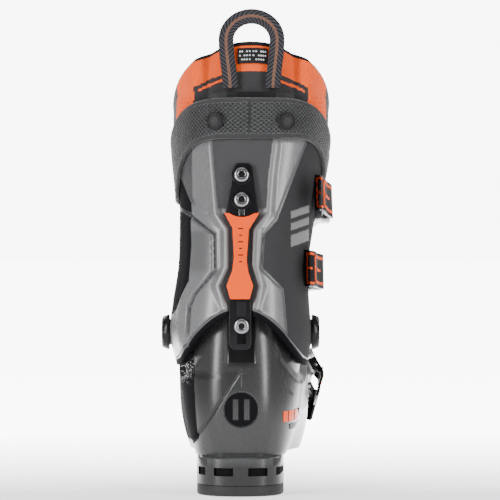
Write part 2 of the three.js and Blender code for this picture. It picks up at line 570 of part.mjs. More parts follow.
function buckle(name, track, t0, step, core, [leverBack, leverLift, teeth]) {
  const { matrix, skin } = buckleFrame(track, t0, step);
  const put = (part, solid, paint) => add(`${name}_${part}`, solid, paint);
  const [armIn, armOut, earIn, earOut] = [7.4, 9.9, 10.3, 13.2];
  const half = BUCKLE_WIDTH / 2;

  // base: a foot that follows the skin, two ears and two stub pins
  let base = box(-16, 1, -half, half, -8, 3.2);
  for (const sign of SIDES_OF_ONE) {
    const [y0, y1] = [sign * earIn, sign * earOut].sort((a, b) => a - b);
    base = base.add(box(-4, 4, y0, y1, -6, HINGE_N + 3));
    const [p0, p1] = [sign * (armIn - 0.2), sign * (earIn + 0.5)].sort((a, b) => a - b);
    base = base.add(pinAlongY(0, HINGE_N, p0, p1, 2.1));
  }
  put('base', placed(base, matrix).subtract(core), 'steel');

  // lever: a curved plate that follows the skin, with two arms
  const stations = [-leverBack, -leverBack * 0.82, -leverBack * 0.62, -leverBack * 0.42, -15];
  const lift = (f) => lerp(9.8, skin(f).n + leverLift, smooth((-f - 14) / 16));
  const plate = [...stations.map((f) => [f, lift(f)]), ...[...stations].reverse().map((f) => [f, lift(f) + 2.6])];
  let lever = barAlongY(plate, -half, half);
  for (const sign of SIDES_OF_ONE) {
    const [y0, y1] = [sign * armIn, sign * armOut].sort((a, b) => a - b);
    lever = lever.add(barAlongY([[-20, lift(-20) + 0.5], [-6, HINGE_N - 3], [3, HINGE_N - 3], [3.4, HINGE_N + 3],
      [-16, lift(-16) + 2.4]], y0, y1));
  }
  lever = lever.subtract(pinAlongY(0, HINGE_N, -20, 20, 2.1 + 0.3))
    .subtract(pinAlongY(...CROSS_PIN, -20, 20, 1.8));
  put('lever', placed(lever, matrix), 'dark');
  put('cross_pin', placed(pinAlongY(...CROSS_PIN, -armOut, armOut, 1.5), matrix), 'steel');

  // rod, hook and ladder, along the line from the cross pin to the ladder's tooth
  const tooth = skin(HOOK_REACH);
  const bar = [HOOK_REACH - 4.6 * Math.sin(tooth.slope) + 0.4, tooth.n + 4.6 * Math.cos(tooth.slope)];
  const reach = Math.hypot(bar[0] - CROSS_PIN[0], bar[1] - CROSS_PIN[1]);
  const dip = Math.atan2(CROSS_PIN[1] - bar[1], bar[0] - CROSS_PIN[0]);
  const along = (solid) => placed(turned(solid, dip, ...CROSS_PIN), matrix);
  put('rod', along(box(-3.6, 3.6, -4.4, 4.4, -3.4, 3.4)
    .add(rod(new Vector3(3, 0, 0), new Vector3(reach - 18, 0, 0), 1.7, 10))
    .subtract(pinAlongY(0, 0, -6, 6, 1.9))), 'steel');
  put('hook', along(box(reach - 24, reach - 17, -9, 9, -2.4, 2.4)
    .add(box(reach - 18, reach, 6.8, 9, -1.4, 1.4))
    .add(box(reach - 18, reach, -9, -6.8, -1.4, 1.4))
    .add(pinAlongY(reach, 0, -9, 9, 1.4))
    .subtract(rod(new Vector3(0, 0, 0), new Vector3(reach - 15, 0, 0), 2.1, 10))), 'steel');

  let ladder = box(-9, teeth * TOOTH_PITCH - 4, -6, 6, -9, 1.9);
  for (let i = 0; i < teeth; i++) {
    const x = i * TOOTH_PITCH - 3.9;
    ladder = ladder.add(barAlongY([[x, 1], [x + 2.2, 1], [x + 1.9, 5.6], [x + 0.8, 5.6]], -6, 6));
  }
  put('ladder', placed(turned(ladder, -tooth.slope, HOOK_REACH, tooth.n), matrix).subtract(core), 'steel');
  const point = (x, z) => new Vector3(x, 0, z).applyMatrix4(matrix);
  const axis = new Vector3().setFromMatrixColumn(matrix, 1);
  const slide = point(Math.cos(dip), -Math.sin(dip)).sub(point(0, 0));
  nodes.userData[name] = { hinge: point(0, HINGE_N), cross: point(...CROSS_PIN), axis, slide };
}
const SIDES_OF_ONE = [-1, 1];

// What the buckle feet stand on: the cuff's and the shell's own facets, a gap larger.
const legCore = legWall(cuffBottom, cuffTop, GAP, -CUFF_WALL - 16, CUFF_STEPS, CUFF_SEGMENTS);
const footCore = shellCore(-GAP);

// A track round the cuff that sinks towards the front as the leg leans.
const cuffTrack = (u0, z0, tilt) => (u, offset) => {
  const back = onLeg(u0, z0, 0).y;
  const y = onLeg(u, z0, 0).y;
  return onLeg(u, z0 - Math.tan(tilt * Math.PI / 180) * (y - back), offset);
};
const shellTrack = (u0, v0, lean) => (v, offset) => onShell(u0 + lean * (v - v0), v, offset);

buckle('upper_cuff_buckle', cuffTrack(0.262, 229, 13), 0.262, 0.002, legCore, CUFF_LEVER);
buckle('lower_cuff_buckle', cuffTrack(0.262, 174, 6), 0.262, 0.002, legCore, CUFF_LEVER);
buckle('instep_buckle', shellTrack(0.345, 0.6, 0.2), 0.6, 0.004, footCore, FOOT_LEVER);
buckle('toe_buckle', shellTrack(0.392, 0.46, 0.1), 0.46, 0.004, footCore, FOOT_LEVER);

export default nodes;
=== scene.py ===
"""Alpine ski boot: the visible pieces, built over the boot's frame."""

import json
import math

import bmesh
import bpy
import numpy as np
from bpy.props import FloatProperty, FloatVectorProperty, IntProperty, PointerProperty
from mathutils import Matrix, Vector
from mathutils.bvhtree import BVHTree

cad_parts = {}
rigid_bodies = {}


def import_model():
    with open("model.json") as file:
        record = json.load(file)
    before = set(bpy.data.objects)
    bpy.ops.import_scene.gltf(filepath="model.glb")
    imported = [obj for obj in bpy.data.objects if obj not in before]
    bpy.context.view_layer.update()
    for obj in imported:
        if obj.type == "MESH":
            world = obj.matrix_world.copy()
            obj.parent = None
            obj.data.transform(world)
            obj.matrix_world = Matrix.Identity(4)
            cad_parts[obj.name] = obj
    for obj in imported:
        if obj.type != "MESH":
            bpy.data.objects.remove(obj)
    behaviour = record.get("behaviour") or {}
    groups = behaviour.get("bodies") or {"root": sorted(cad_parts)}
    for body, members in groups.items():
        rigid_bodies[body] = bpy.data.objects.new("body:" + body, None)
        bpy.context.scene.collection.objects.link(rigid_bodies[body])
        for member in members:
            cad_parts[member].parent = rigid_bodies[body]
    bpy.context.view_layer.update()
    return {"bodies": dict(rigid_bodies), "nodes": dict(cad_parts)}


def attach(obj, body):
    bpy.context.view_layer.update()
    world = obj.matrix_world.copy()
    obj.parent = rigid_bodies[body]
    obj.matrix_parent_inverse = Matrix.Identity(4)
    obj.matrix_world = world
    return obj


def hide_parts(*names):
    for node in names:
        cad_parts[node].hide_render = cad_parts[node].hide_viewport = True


bl_info = {
    "name": "Alpine Ski Boot",
    "version": (1, 0, 0),
    "blender": (4, 5, 0),
    "location": "3D View > Sidebar > Ski Boot",
    "description": "Builds the pieces of an alpine ski boot over its frame",
    "category": "Object",
}

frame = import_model()
MM = 0.001


# ---------------------------------------------------------------- small maths
def clamp01(t):
    return np.clip(t, 0.0, 1.0)


def ease(t):
    t = clamp01(np.asarray(t, float))
    return t * t * (3 - 2 * t)


def lerp(a, b, t):
    return a + (b - a) * t


def signed_power(v, p):
    return np.sign(v) * np.abs(v) ** p


def bump_at(d, width):
    """1 on a line and 0 a width away from it."""
    return np.exp(-(d / width) ** 2)


def edge_drop(near, width):
    """Share of a rounded edge's height that is missing at a distance in from the edge."""
    return 1 - np.sqrt(np.clip(1 - (1 - clamp01(near / width)) ** 2, 0, 1))


def table_at(rows, z):
    """Smooth columns of a table of rows [height, value, ...], at heights z."""
    rows = np.asarray(rows, float)
    z = np.asarray(z, float)
    last = len(rows) - 1
    i = np.clip(np.searchsorted(rows[:, 0], z) - 1, 0, last - 1)
    a, b = rows[i], rows[i + 1]
    before, after = rows[np.maximum(i - 1, 0)], rows[np.minimum(i + 2, last)]
    span = b[..., 0] - a[..., 0]
    t = clamp01((z - a[..., 0]) / span)
    out = []
    for k in range(1, rows.shape[1]):
        slope_a = (b[..., k] - before[..., k]) / (b[..., 0] - before[..., 0]) * span
        slope_b = (after[..., k] - a[..., k]) / (after[..., 0] - a[..., 0]) * span
        out.append((2 * t**3 - 3 * t**2 + 1) * a[..., k] + (t**3 - 2 * t**2 + t) * slope_a
                   + (3 * t**2 - 2 * t**3) * b[..., k] + (t**3 - t**2) * slope_b)
    return out


# ---------------------------------------------------------------- the boot's surfaces, in millimetres
SHELL_WALL = 4.0
CUFF_WALL = 4.0
UNDER_CUFF = 2.3
PIVOT = (38.0, 127.0)
LINER_WALL = 9.0
LINER_TOP_Z = 361.0
STRAP_GAP = 0.6
LOOP_FOOT_Z = 323.3
TEXTURE_TURN = 5.2
TEXTURE_HEIGHT = 75.0
MATT_LIMIT = 0.66
# height, back y, front y, outer x, inner x, y of the widest place
LEG = [
    [95, -41, 112, 54, -50, 38], [125, -42.5, 112, 57.5, -57, 38], [150, -42, 112, 56, -55, 38],
    [180, -38.5, 113.5, 55, -50.5, 39], [210, -32, 117, 59, -49.5, 43], [240, -25, 121, 63.5, -50, 47],
    [270, -18, 125, 69, -53, 52], [300, -11, 129, 72, -55, 56], [330, -4, 134, 71, -53, 61],
    [365, 4, 141, 68, -50, 66]]
LEG_ROUND = 0.84
SOLE_RING = [
    [0, -38], [24, -30], [34.5, -2], [33, 70], [36, 150], [31, 238],
    [0, 268], [-31, 238], [-36, 150], [-31, 70], [-34.5, -2], [-24, -30]]
FOOT_RING = [
    [0, -32, 31], [23, -24, 31], [36, 2, 31], [38, 72, 29], [50, 160, 24], [34, 228, 21],
    [2, 250, 20.5], [-32, 226, 21], [-43, 168, 24], [-35, 80, 29], [-35, 2, 31], [-23, -24, 31]]
BULGE_RING = [
    [0, -45, 66], [29, -36, 66], [49, 2, 66], [58, 78, 66], [66, 158, 66], [50, 234, 74],
    [2, 262, 78], [-46, 232, 74], [-60, 168, 66], [-52, 82, 66], [-46, 2, 66], [-29, -36, 66]]
SHIN_RING = [
    [0, -38, 112], [25, -31, 112], [49, 2, 112], [56, 50, 112], [50, 128, 108], [28, 178, 98],
    [2, 200, 94], [-24, 178, 98], [-46, 128, 108], [-53, 52, 112], [-47, 2, 112], [-25, -31, 112]]
THROAT_RING = [
    [0, -27, 158], [23, -20, 154], [41, 4, 148], [50, 38, 146], [40, 78, 146], [22, 99, 148],
    [2, 105, 149], [-18, 99, 148], [-37, 78, 146], [-48.5, 38, 146], [-40, 4, 148], [-23, -20, 154]]


def leg(u, z, offset=0.0):
    """Points of the leg surface: u 0 at the back, 0.25 outer side, 0.5 front, 0.75 inner side."""
    back, front, outer, inner, wide = table_at(LEG, z)
    c, s = np.cos(2 * np.pi * u), np.sin(2 * np.pi * u)
    half = (outer - inner) / 2 + offset
    reach = np.where(c > 0, wide - back, front - wide) + offset
    x = (outer + inner) / 2 + half * signed_power(s, LEG_ROUND)
    return np.stack([x, wide - reach * signed_power(c, LEG_ROUND), z + 0 * x], -1)


def leg_point(u, z, offset=0.0):
    """One point of the leg surface."""
    return leg(np.array(float(u)), np.array(float(z)), offset)


def backness(u):
    return np.maximum(0, np.cos(2 * np.pi * u))


def frontness(u):
    return np.maximum(0, -np.cos(2 * np.pi * u))


def cuff_bottom(u):
    return 101 + 42 * backness(u) ** 3.56 + 65 * frontness(u) ** 1.6


def cuff_top(u):
    return 262 + 46 * backness(u) - 22 * frontness(u)


def strap_bottom(u):
    rear = np.sin(backness(u) * np.pi / 2) ** 1.5
    return 232 + 50 * rear - 6 * frontness(u) + 16 * np.maximum(0, np.sin(2 * np.pi * u)) ** 3


def strap_top(u):
    return 281 + 34 * np.sin(backness(u) * np.pi / 2) ** 1.5 - 13 * frontness(u)


def liner_top(u):
    return 318 + (LINER_TOP_Z - 318) * backness(u) - 10 * frontness(u)


def ring_at(points, u):
    """A closed smooth curve through points, at shares u of its way round."""
    p = np.array([list(q) + [0.0] * (3 - len(q)) for q in points])
    n = len(p)
    t = (np.asarray(u, float) % 1.0) * n
    i = np.floor(t).astype(int)
    w = (t - i)[..., None]
    a, b, c, d = p[(i - 1) % n], p[i % n], p[(i + 1) % n], p[(i + 2) % n]
    return 0.5 * (2 * b + (c - a) * w + (2 * a - 5 * b + 4 * c - d) * w**2 + (3 * b - a - 3 * c + d) * w**3)


def shell_outer(u, v):
    rings = [ring_at(r, u) for r in (FOOT_RING, BULGE_RING, SHIN_RING, THROAT_RING)]
    v = np.asarray(v, float)[..., None]
    w = 1 - v
    return rings[0] * w**3 + rings[1] * 3 * w**2 * v + rings[2] * 3 * w * v**2 + rings[3] * v**3


def against_cuff(p, inset):
    back, front, outer, inner, wide = table_at(LEG, p[..., 2])
    inside = CUFF_WALL + UNDER_CUFF + inset
    centre = np.stack([(outer + inner) / 2, wide, p[..., 2]], -1)
    across = (p[..., 0] - centre[..., 0]) / ((outer - inner) / 2 - inside)
    along = (wide - p[..., 1]) / (np.where(p[..., 1] < wide, wide - back, front - wide) - inside)
    power = 2 / LEG_ROUND
    size = np.maximum(1, (np.abs(across) ** power + np.abs(along) ** power) ** (1 / power))
    turn = np.clip(signed_power(along / size, 1 / LEG_ROUND), -1, 1)
    return size, np.arccos(turn) / (2 * np.pi), centre


def shell(u, v, inset=0.0, lead_more=0.0):
    """Points of the lower shell, moved in by inset and drawn in where the cuff covers it."""
    u, v = np.broadcast_arrays(np.asarray(u, float), np.asarray(v, float))
    p = shell_outer(u, v)
    step = 0.004
    normal = np.cross(shell_outer(u + step, v) - shell_outer(u - step, v),
                      shell_outer(u, v + step) - shell_outer(u, v - step))
    normal /= np.linalg.norm(normal, axis=-1, keepdims=True)
    _, around, _ = against_cuff(p, 0)
    lead = 16 + 17 * frontness(around) + lead_more
    cover = ease((p[..., 2] - cuff_bottom(around) + lead) / 10)
    p = p - normal * np.asarray(inset)[..., None]
    size, _, centre = against_cuff(p, np.asarray(inset))
    return (p - centre) * lerp(1, 1 / size, cover)[..., None] + centre


def floor_z(y):
    return lerp(34.0, 25.0, y / 240)


# ---------------------------------------------------------------- mesh making
def new_object(name, mesh):
    obj = bpy.data.objects.new(name, mesh)
    bpy.context.scene.collection.objects.link(obj)
    return obj


def piece(name, points, faces, finish, uv=None, paint=None, smooth_angle=35, tags=None):
    """A mesh object from points in millimetres. paint is one rgba per point, tags one material per face."""
    mesh = bpy.data.meshes.new(name)
    mesh.from_pydata((np.asarray(points, float).reshape(-1, 3) * MM).tolist(), [], faces)
    for one in finish if isinstance(finish, (list, tuple)) else [finish]:
        mesh.materials.append(one)
    if tags is not None:
        mesh.polygons.foreach_set("material_index", tags)
    if uv is not None:
        layer = mesh.uv_layers.new(name="weave")
        corners = np.empty(len(mesh.loops), int)
        mesh.loops.foreach_get("vertex_index", corners)
        layer.data.foreach_set("uv", np.asarray(uv, float).reshape(-1, 2)[corners].ravel())
    if paint is not None:
        colour = mesh.color_attributes.new("paint", "FLOAT_COLOR", "POINT")
        colour.data.foreach_set("color", np.asarray(paint, float).reshape(-1, 4).ravel())
    mesh.shade_smooth()
    if smooth_angle:
        mesh.set_sharp_from_angle(angle=math.radians(smooth_angle))
    mesh.validate()
    return new_object(name, mesh)


def grid_faces(rows, columns, close_rows=False, close_columns=True):
    """Quads of a grid of points laid out row by row, closed round each row if asked."""
    faces = []
    for r in range(rows if close_rows else rows - 1):
        r2 = (r + 1) % rows
        for c in range(columns if close_columns else columns - 1):
            c2 = (c + 1) % columns
            faces.append((r * columns + c, r * columns + c2, r2 * columns + c2, r2 * columns + c))
    return faces


def ring_mesh(name, rings, finish, close_rows=False, **more):
    """A skin through equal rings of points; open ends are capped with a fan."""
    grid = np.stack(rings)
    rows, columns = grid.shape[:2]
    faces = grid_faces(rows, columns, close_rows)
    points = grid.reshape(-1, 3)
    if not close_rows:
        ends = [grid[0].mean(0), grid[-1].mean(0)]
        points = np.vstack([points, ends])
        first, last = rows * columns, rows * columns + 1
        for c in range(columns):
            c2 = (c + 1) % columns
            faces.append((c2, c, first))
            faces.append(((rows - 1) * columns + c, (rows - 1) * columns + c2, last))
        for key in ("uv", "paint"):
            if more.get(key) is not None:
                flat = np.asarray(more[key], float).reshape(rows * columns, -1)
                more[key] = np.vstack([flat, flat[:1], flat[-1:]])
    obj = piece(name, points, faces, finish, **more)
    turn_outwards(obj)
    return obj


def turn_outwards(obj):
    bm = bmesh.new()
    bm.from_mesh(obj.data)
    bmesh.ops.recalc_face_normals(bm, faces=bm.faces)
    bm.to_mesh(obj.data)
    bm.free()


def apply_modifiers(obj):
    depsgraph = bpy.context.evaluated_depsgraph_get()
    mesh = bpy.data.meshes.new_from_object(obj.evaluated_get(depsgraph))
    obj.modifiers.clear()
    old = obj.data
    obj.data = mesh
    mesh.name = old.name
    return obj


def soften(obj, width_mm, segments=2, angle=30):
    """Rounds the sharp edges of a hard piece."""
    bevel = obj.modifiers.new("round edges", "BEVEL")
    bevel.width = width_mm * MM
    bevel.segments = segments
    bevel.limit_method = "ANGLE"
    bevel.angle_limit = math.radians(angle)
    apply_modifiers(obj)
    obj.data.shade_smooth()
    obj.data.set_sharp_from_angle(angle=math.radians(40))
    return obj


def copy_of(node, name, finish):
    """A welded copy of a frame solid, to round and finish."""
    mesh = frame["nodes"][node].data.copy()
    bm = bmesh.new()
    bm.from_mesh(mesh)
    bmesh.ops.remove_doubles(bm, verts=bm.verts, dist=2e-6)
    bmesh.ops.dissolve_limit(bm, angle_limit=math.radians(0.5), verts=bm.verts, edges=bm.edges)
    bm.to_mesh(mesh)
    bm.free()
    mesh.materials.clear()
    mesh.materials.append(finish)
    mesh.name = name
    obj = new_object(name, mesh)
    mesh.shade_smooth()
    mesh.set_sharp_from_angle(angle=math.radians(30))
    return obj


def join(objects, name):
    """One object from several, with its materials kept."""
    bm = bmesh.new()
    materials = []
    mesh = bpy.data.meshes.new(name)
    for obj in objects:
        start = len(bm.faces)
        bm.from_mesh(obj.data)
        bm.faces.ensure_lookup_table()
        slots = []
        for one in obj.data.materials:
            if one not in materials:
                materials.append(one)
            slots.append(materials.index(one))
        for face in bm.faces[start:]:
            face.material_index = slots[face.material_index] if slots else 0
    bm.to_mesh(mesh)
    bm.free()
    for one in materials:
        mesh.materials.append(one)
    for obj in objects:
        bpy.data.objects.remove(obj)
    return new_object(name, mesh)


# ---------------------------------------------------------------- finishes
def add_node(tree, kind, inputs=None, **settings):
    node = tree.nodes.new(kind)
    for key, value in settings.items():
        setattr(node, key, value)
    for key, value in (inputs or {}).items():
        if isinstance(value, bpy.types.NodeSocket):
            tree.links.new(value, node.inputs[key])
        else:
            node.inputs[key].default_value = value
    return node


def maths(tree, operation, a, b=0.0, c=0.0):
    return add_node(tree, "ShaderNodeMath", {0: a, 1: b, 2: c}, operation=operation).outputs[0]


def blend_colour(tree, share, a, b, mode="MIX"):
    node = add_node(tree, "ShaderNodeMix", {0: share, 6: a, 7: b}, data_type="RGBA", blend_type=mode)
    return node.outputs[2]


def new_finish(name, **constants):
    """A material with one Principled shader; constants go straight on its sockets."""
    finish = bpy.data.materials.new(name)
    finish.use_nodes = True
    tree = finish.node_tree
    tree.nodes.clear()
    out = add_node(tree, "ShaderNodeOutputMaterial")
    shader = add_node(tree, "ShaderNodeBsdfPrincipled", constants)
    tree.links.new(shader.outputs[0], out.inputs[0])
    return finish, tree, shader


def rgba(colour, k=1.0):
    return (colour[0] * k, colour[1] * k, colour[2] * k, 1.0)


def placed_at(tree, scale=(1, 1, 1)):
    place = add_node(tree, "ShaderNodeTexCoord").outputs["Object"]
    return add_node(tree, "ShaderNodeMapping", {"Vector": place, "Scale": scale}).outputs[0]


def noise(tree, place, scale, detail, **more):
    inputs = {"Vector": place, "Scale": scale, "Detail": detail, **more}
    return add_node(tree, "ShaderNodeTexNoise", inputs).outputs[0]


def wave(tree, value, turns):
    return maths(tree, "SINE", maths(tree, "MULTIPLY", value, turns))


def set_tone(tree, shader, base, tone):
    """Base colour with its brightness changed by a tone."""
    grey = add_node(tree, "ShaderNodeCombineColor", {0: tone, 1: tone, 2: tone}).outputs[0]
    tree.links.new(blend_colour(tree, 1.0, base, grey, "MULTIPLY"), shader.inputs["Base Color"])


def set_bump(tree, shader, height, strength, distance=0.0003):
    bump = add_node(tree, "ShaderNodeBump", {"Height": height, "Strength": strength, "Distance": distance})
    tree.links.new(bump.outputs[0], shader.inputs["Normal"])


def moulded(name, colour, roughness, grain=0.12, grain_scale=900.0, painted=False, coat=0.0, mottle=0.08,
            shine=0.3):
    """Moulded plastic: faint cloudy colour, fine grain, small dust-like changes of gloss."""
    finish, tree, shader = new_finish(name, **{"Coat Weight": coat, "Coat Roughness": 0.18, "IOR": 1.45,
                                               "Specular IOR Level": shine})
    place = placed_at(tree)
    cloud, fine = noise(tree, place, 38.0, 5.0), noise(tree, place, grain_scale, 3.0)
    scuff = noise(tree, placed_at(tree, (1, 1, 0.25)), 420.0, 6.0, Roughness=0.7)
    base = rgba(colour)
    if painted:
        base = add_node(tree, "ShaderNodeAttribute", attribute_name="paint").outputs["Color"]
    set_tone(tree, shader, base, maths(tree, "MULTIPLY_ADD", cloud, mottle * 2, 1 - mottle))
    rough = maths(tree, "MULTIPLY_ADD", scuff, 0.09, roughness - 0.045)
    if painted:
        matt = add_node(tree, "ShaderNodeAttribute", attribute_name="paint").outputs["Alpha"]
        rough = maths(tree, "ADD", rough, maths(tree, "MULTIPLY_ADD", matt, 0.5, -0.25))
    tree.links.new(rough, shader.inputs["Roughness"])
    set_bump(tree, shader, fine, grain)
    return finish


def metal(name, colour, roughness, brushed=(1, 1, 1), strength=0.08):
    """Bare metal with fine drawn lines and cloudy gloss."""
    finish, tree, shader = new_finish(name, **{"Metallic": 1.0})
    lines, cloud = noise(tree, placed_at(tree, brushed), 700.0, 6.0), noise(tree, placed_at(tree), 120.0, 4.0)
    set_tone(tree, shader, rgba(colour), maths(tree, "MULTIPLY_ADD", cloud, 0.3, 0.85))
    tree.links.new(maths(tree, "MULTIPLY_ADD", lines, 0.25, roughness - 0.12), shader.inputs["Roughness"])
    set_bump(tree, shader, lines, strength)
    return finish


def woven(name, colour, second, threads, depth=0.5, sheen=0.3, roughness=0.85, diamonds=False,
          distance=0.0006):
    """Woven cloth with that many threads per unit: raised both ways, with fuzz and a soft sheen."""
    finish, tree, shader = new_finish(name, **{"Sheen Weight": sheen, "Sheen Roughness": 0.5,
                                               "Specular IOR Level": 0.35, "Roughness": roughness})
    place = add_node(tree, "ShaderNodeTexCoord").outputs["UV"]
    split = add_node(tree, "ShaderNodeSeparateXYZ", {0: place}).outputs
    turns = threads * math.tau
    if diamonds:
        u, v = (maths(tree, "MULTIPLY", split[i], turns) for i in (0, 1))
        one, two = (maths(tree, "ABSOLUTE", maths(tree, "SINE", maths(tree, way, u, v)))
                    for way in ("ADD", "SUBTRACT"))
        height = maths(tree, "SUBTRACT", 1.0, maths(tree, "POWER", maths(tree, "MULTIPLY", one, two), 0.8))
    else:
        both = maths(tree, "MULTIPLY", wave(tree, split[0], turns), wave(tree, split[1], turns))
        height = maths(tree, "MULTIPLY_ADD", both, 0.5, 0.5)
    fuzz, cloud = noise(tree, placed_at(tree), 1500.0, 4.0), noise(tree, placed_at(tree), 60.0, 4.0)
    share = maths(tree, "MULTIPLY", height, maths(tree, "MULTIPLY_ADD", cloud, 0.6, 0.7))
    tree.links.new(blend_colour(tree, share, rgba(colour), rgba(second)), shader.inputs["Base Color"])
    lift = maths(tree, "ADD", height, maths(tree, "MULTIPLY", fuzz, 0.35))
    set_bump(tree, shader, lift, depth, distance)
    return finish


def herringbone(name, colour, stripe, ribs, width_uv):
    """Webbing: slanting ribs that turn over at the middle, with a paler centre stripe."""
    finish, tree, shader = new_finish(name, **{"Sheen Weight": 0.04, "Sheen Roughness": 0.5,
                                               "Specular IOR Level": 0.2, "Roughness": 0.85})
    place = add_node(tree, "ShaderNodeTexCoord").outputs["UV"]
    split = add_node(tree, "ShaderNodeSeparateXYZ", {0: place})
    off = maths(tree, "ABSOLUTE", split.outputs[0])
    slant = maths(tree, "MULTIPLY_ADD", off, 1.0, split.outputs[1])
    rib = maths(tree, "MULTIPLY_ADD", wave(tree, slant, ribs * math.tau), 0.5, 0.5)
    centre = maths(tree, "LESS_THAN", off, width_uv * 0.2)
    line = maths(tree, "GREATER_THAN", wave(tree, split.outputs[1], 900.0), 0.1)
    shade = blend_colour(tree, maths(tree, "MULTIPLY", rib, 0.8), rgba(colour), rgba(colour, 9.0))
    share = maths(tree, "MULTIPLY", centre, maths(tree, "MULTIPLY_ADD", line, 0.5, 0.3))
    lit = blend_colour(tree, share, shade, rgba(stripe))
    tree.links.new(lit, shader.inputs["Base Color"])
    set_bump(tree, shader, rib, 0.7, 0.0005)
    return finish


def make_finishes(look):
    """Every finish of the boot, by name."""
    orange = tuple(look.orange)
    black = (0.010, 0.010, 0.011)
    return {
        "cuff": moulded("cuff_plastic", (0, 0, 0), 0.31, painted=True, grain=0.05, shine=0.5),
        "shell": moulded("shell_plastic", (0, 0, 0), 0.31, painted=True, grain=0.05, shine=0.45),
        "matt_side": moulded("matt_side_plastic", (0, 0, 0), 0.6, painted=True, grain=0.05, shine=0.02),
        "black": moulded("black_plastic", black, 0.45, grain=0.16, shine=0.18),
        "gloss_black": moulded("gloss_black_plastic", (0.006, 0.006, 0.007), 0.3, grain=0.04, shine=0.25),
        "orange": moulded("orange_plastic", orange, 0.4, grain=0.05, mottle=0.04, shine=0.2),
        "sole": moulded("sole_rubber", (0.018, 0.018, 0.019), 0.62, grain=0.4, grain_scale=500),
        "grey": moulded("grey_plastic", (0.10, 0.102, 0.106), 0.4),
        "board": moulded("board_plastic", (0.05, 0.05, 0.055), 0.6, grain=0.3),
        "steel": metal("plated_steel", (0.27, 0.27, 0.28), 0.32),
        "dark_steel": metal("dark_steel", (0.12, 0.12, 0.125), 0.36, (1, 1, 0.15)),
        "cast": metal("cast_metal", (0.34, 0.345, 0.355), 0.34, strength=0.2),
        "socket": moulded("socket_shade", (0.004, 0.004, 0.004), 0.6),
        "strap": woven("strap_fabric", (0.002, 0.002, 0.002), (0.055, 0.056, 0.058), 11.0, depth=1.0,
                       sheen=0.03, roughness=0.55, diamonds=True, distance=0.0011),
        "strap_edge": woven("strap_binding", (0.006, 0.006, 0.006), (0.03, 0.03, 0.032), 60.0, 0.6),
        "liner": woven("liner_knit", tuple(c * 0.85 for c in orange), (1.0, 0.115, 0.0), 26.0, depth=0.6,
                       sheen=0.1, roughness=0.9, diamonds=True),
        "liner_black": woven("liner_black_knit", (0.006, 0.006, 0.007), (0.022, 0.022, 0.024), 55.0, 0.6),
        "liner_inside": woven("liner_fleece", (0.030, 0.030, 0.033), (0.06, 0.06, 0.064), 120.0, 0.5, 0.6),
        "lining_orange": woven("strap_lining", tuple(c * 0.8 for c in orange), orange, 60.0, 0.4),
        "webbing": herringbone("loop_webbing", (0.006, 0.006, 0.007), (0.22, 0.10, 0.06), 14.0, 0.12),
        "label": moulded("label_black", (0.008, 0.008, 0.009), 0.5),
        "label_mark": moulded("label_pale", (0.55, 0.55, 0.55), 0.5),
        "foam": woven("footbed_cloth", (0.05, 0.05, 0.055), (0.11, 0.11, 0.115), 100.0, 0.4),
    }


# ---------------------------------------------------------------- sizes a user would change
def colour_property(name, description, default):
    return FloatVectorProperty(name=name, description=description, subtype="COLOR", default=default,
                               min=0, max=1)


def length_property(name, description, default):
    return FloatProperty(name=name, description=description, default=default, unit="LENGTH")


class BootLook(bpy.types.PropertyGroup):
    orange: colour_property("Orange", "Colour of the spine insert and liner", (0.80, 0.072, 0.001))
    cuff_light: colour_property("Cuff wings", "Colour of the cuff's lighter wings", (0.125, 0.126, 0.129))
    cuff_dark: colour_property("Cuff middle", "Colour of the cuff's matt panels", (0.050, 0.050, 0.052))
    shell_grey: colour_property("Lower shell", "Colour of the lower shell", (0.025, 0.0252, 0.026))
    black: colour_property("Black", "Colour of the inner side panels", (0.006, 0.006, 0.007))
    around: IntProperty(name="Steps round", description="Points round the cuff and the shell", default=400,
                        min=80)
    upwards: IntProperty(name="Steps up", description="Rows of points up the cuff and the shell", default=190,
                         min=40)


class BootSizes(bpy.types.PropertyGroup):
    strap_thick: length_property("Strap thickness", "Thickness of the power strap", 0.003)
    webbing_width: length_property("Loop width", "Width of the pull loops' webbing", 0.012)
    camera_away: length_property("Camera distance", "From the camera to the boot's back", 2.1)


FINISHES = {}


def settle(obj, body, node):
    """Puts a finished piece on its body in place of a frame solid, and names it after that."""
    obj.name = node + "_finished"
    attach(obj, body)
    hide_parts(node)


def need_finishes():
    if not FINISHES:
        FINISHES.update(make_finishes(bpy.context.scene.boot_look))
    return FINISHES


def line_x(points, z):
    """x of a drawn line [height, x] at heights z."""
    rows = np.array(sorted(points))
    return np.interp(z, rows[:, 0], rows[:, 1])


def line_gap(points, x, z):
    """Distance to the right of a drawn line [height, x], square to it as near as matters."""
    here = line_x(points, z)
    slope = (line_x(points, z + 1) - line_x(points, z - 1)) / 2
    return (x - here) / np.sqrt(1 + slope**2)


def blend_paint(base, colour, share):
    share = np.asarray(share)[..., None]
    return base * (1 - share) + np.asarray(colour, float) * share


def matt_faces(rings, paint):
    """Material 1 for the quads of closed rings whose paint is matt, and 0 for the rest."""
    matt = np.asarray(paint)[..., 3] > MATT_LIMIT
    both = matt & np.roll(matt, -1, axis=1)
    return both[:rings].astype(int).ravel()


def paint_of(colour, matt=0.5):
    return np.array([*colour, matt], float)


def tint(colour, times, matt):
    """A colour made lighter or darker, as paint."""
    return paint_of([c * times for c in colour], matt)


def layered(paint, layers):
    """Paint with layers (colour, share) laid over it in turn."""
    for colour, share in layers:
        paint = blend_paint(paint, colour, share)
    return paint


def weave_uv(u, z):
    """Place in the weave of cloth laid round the leg."""
    return np.stack([np.broadcast_to(u, np.shape(z)) * TEXTURE_TURN, z / TEXTURE_HEIGHT], -1)


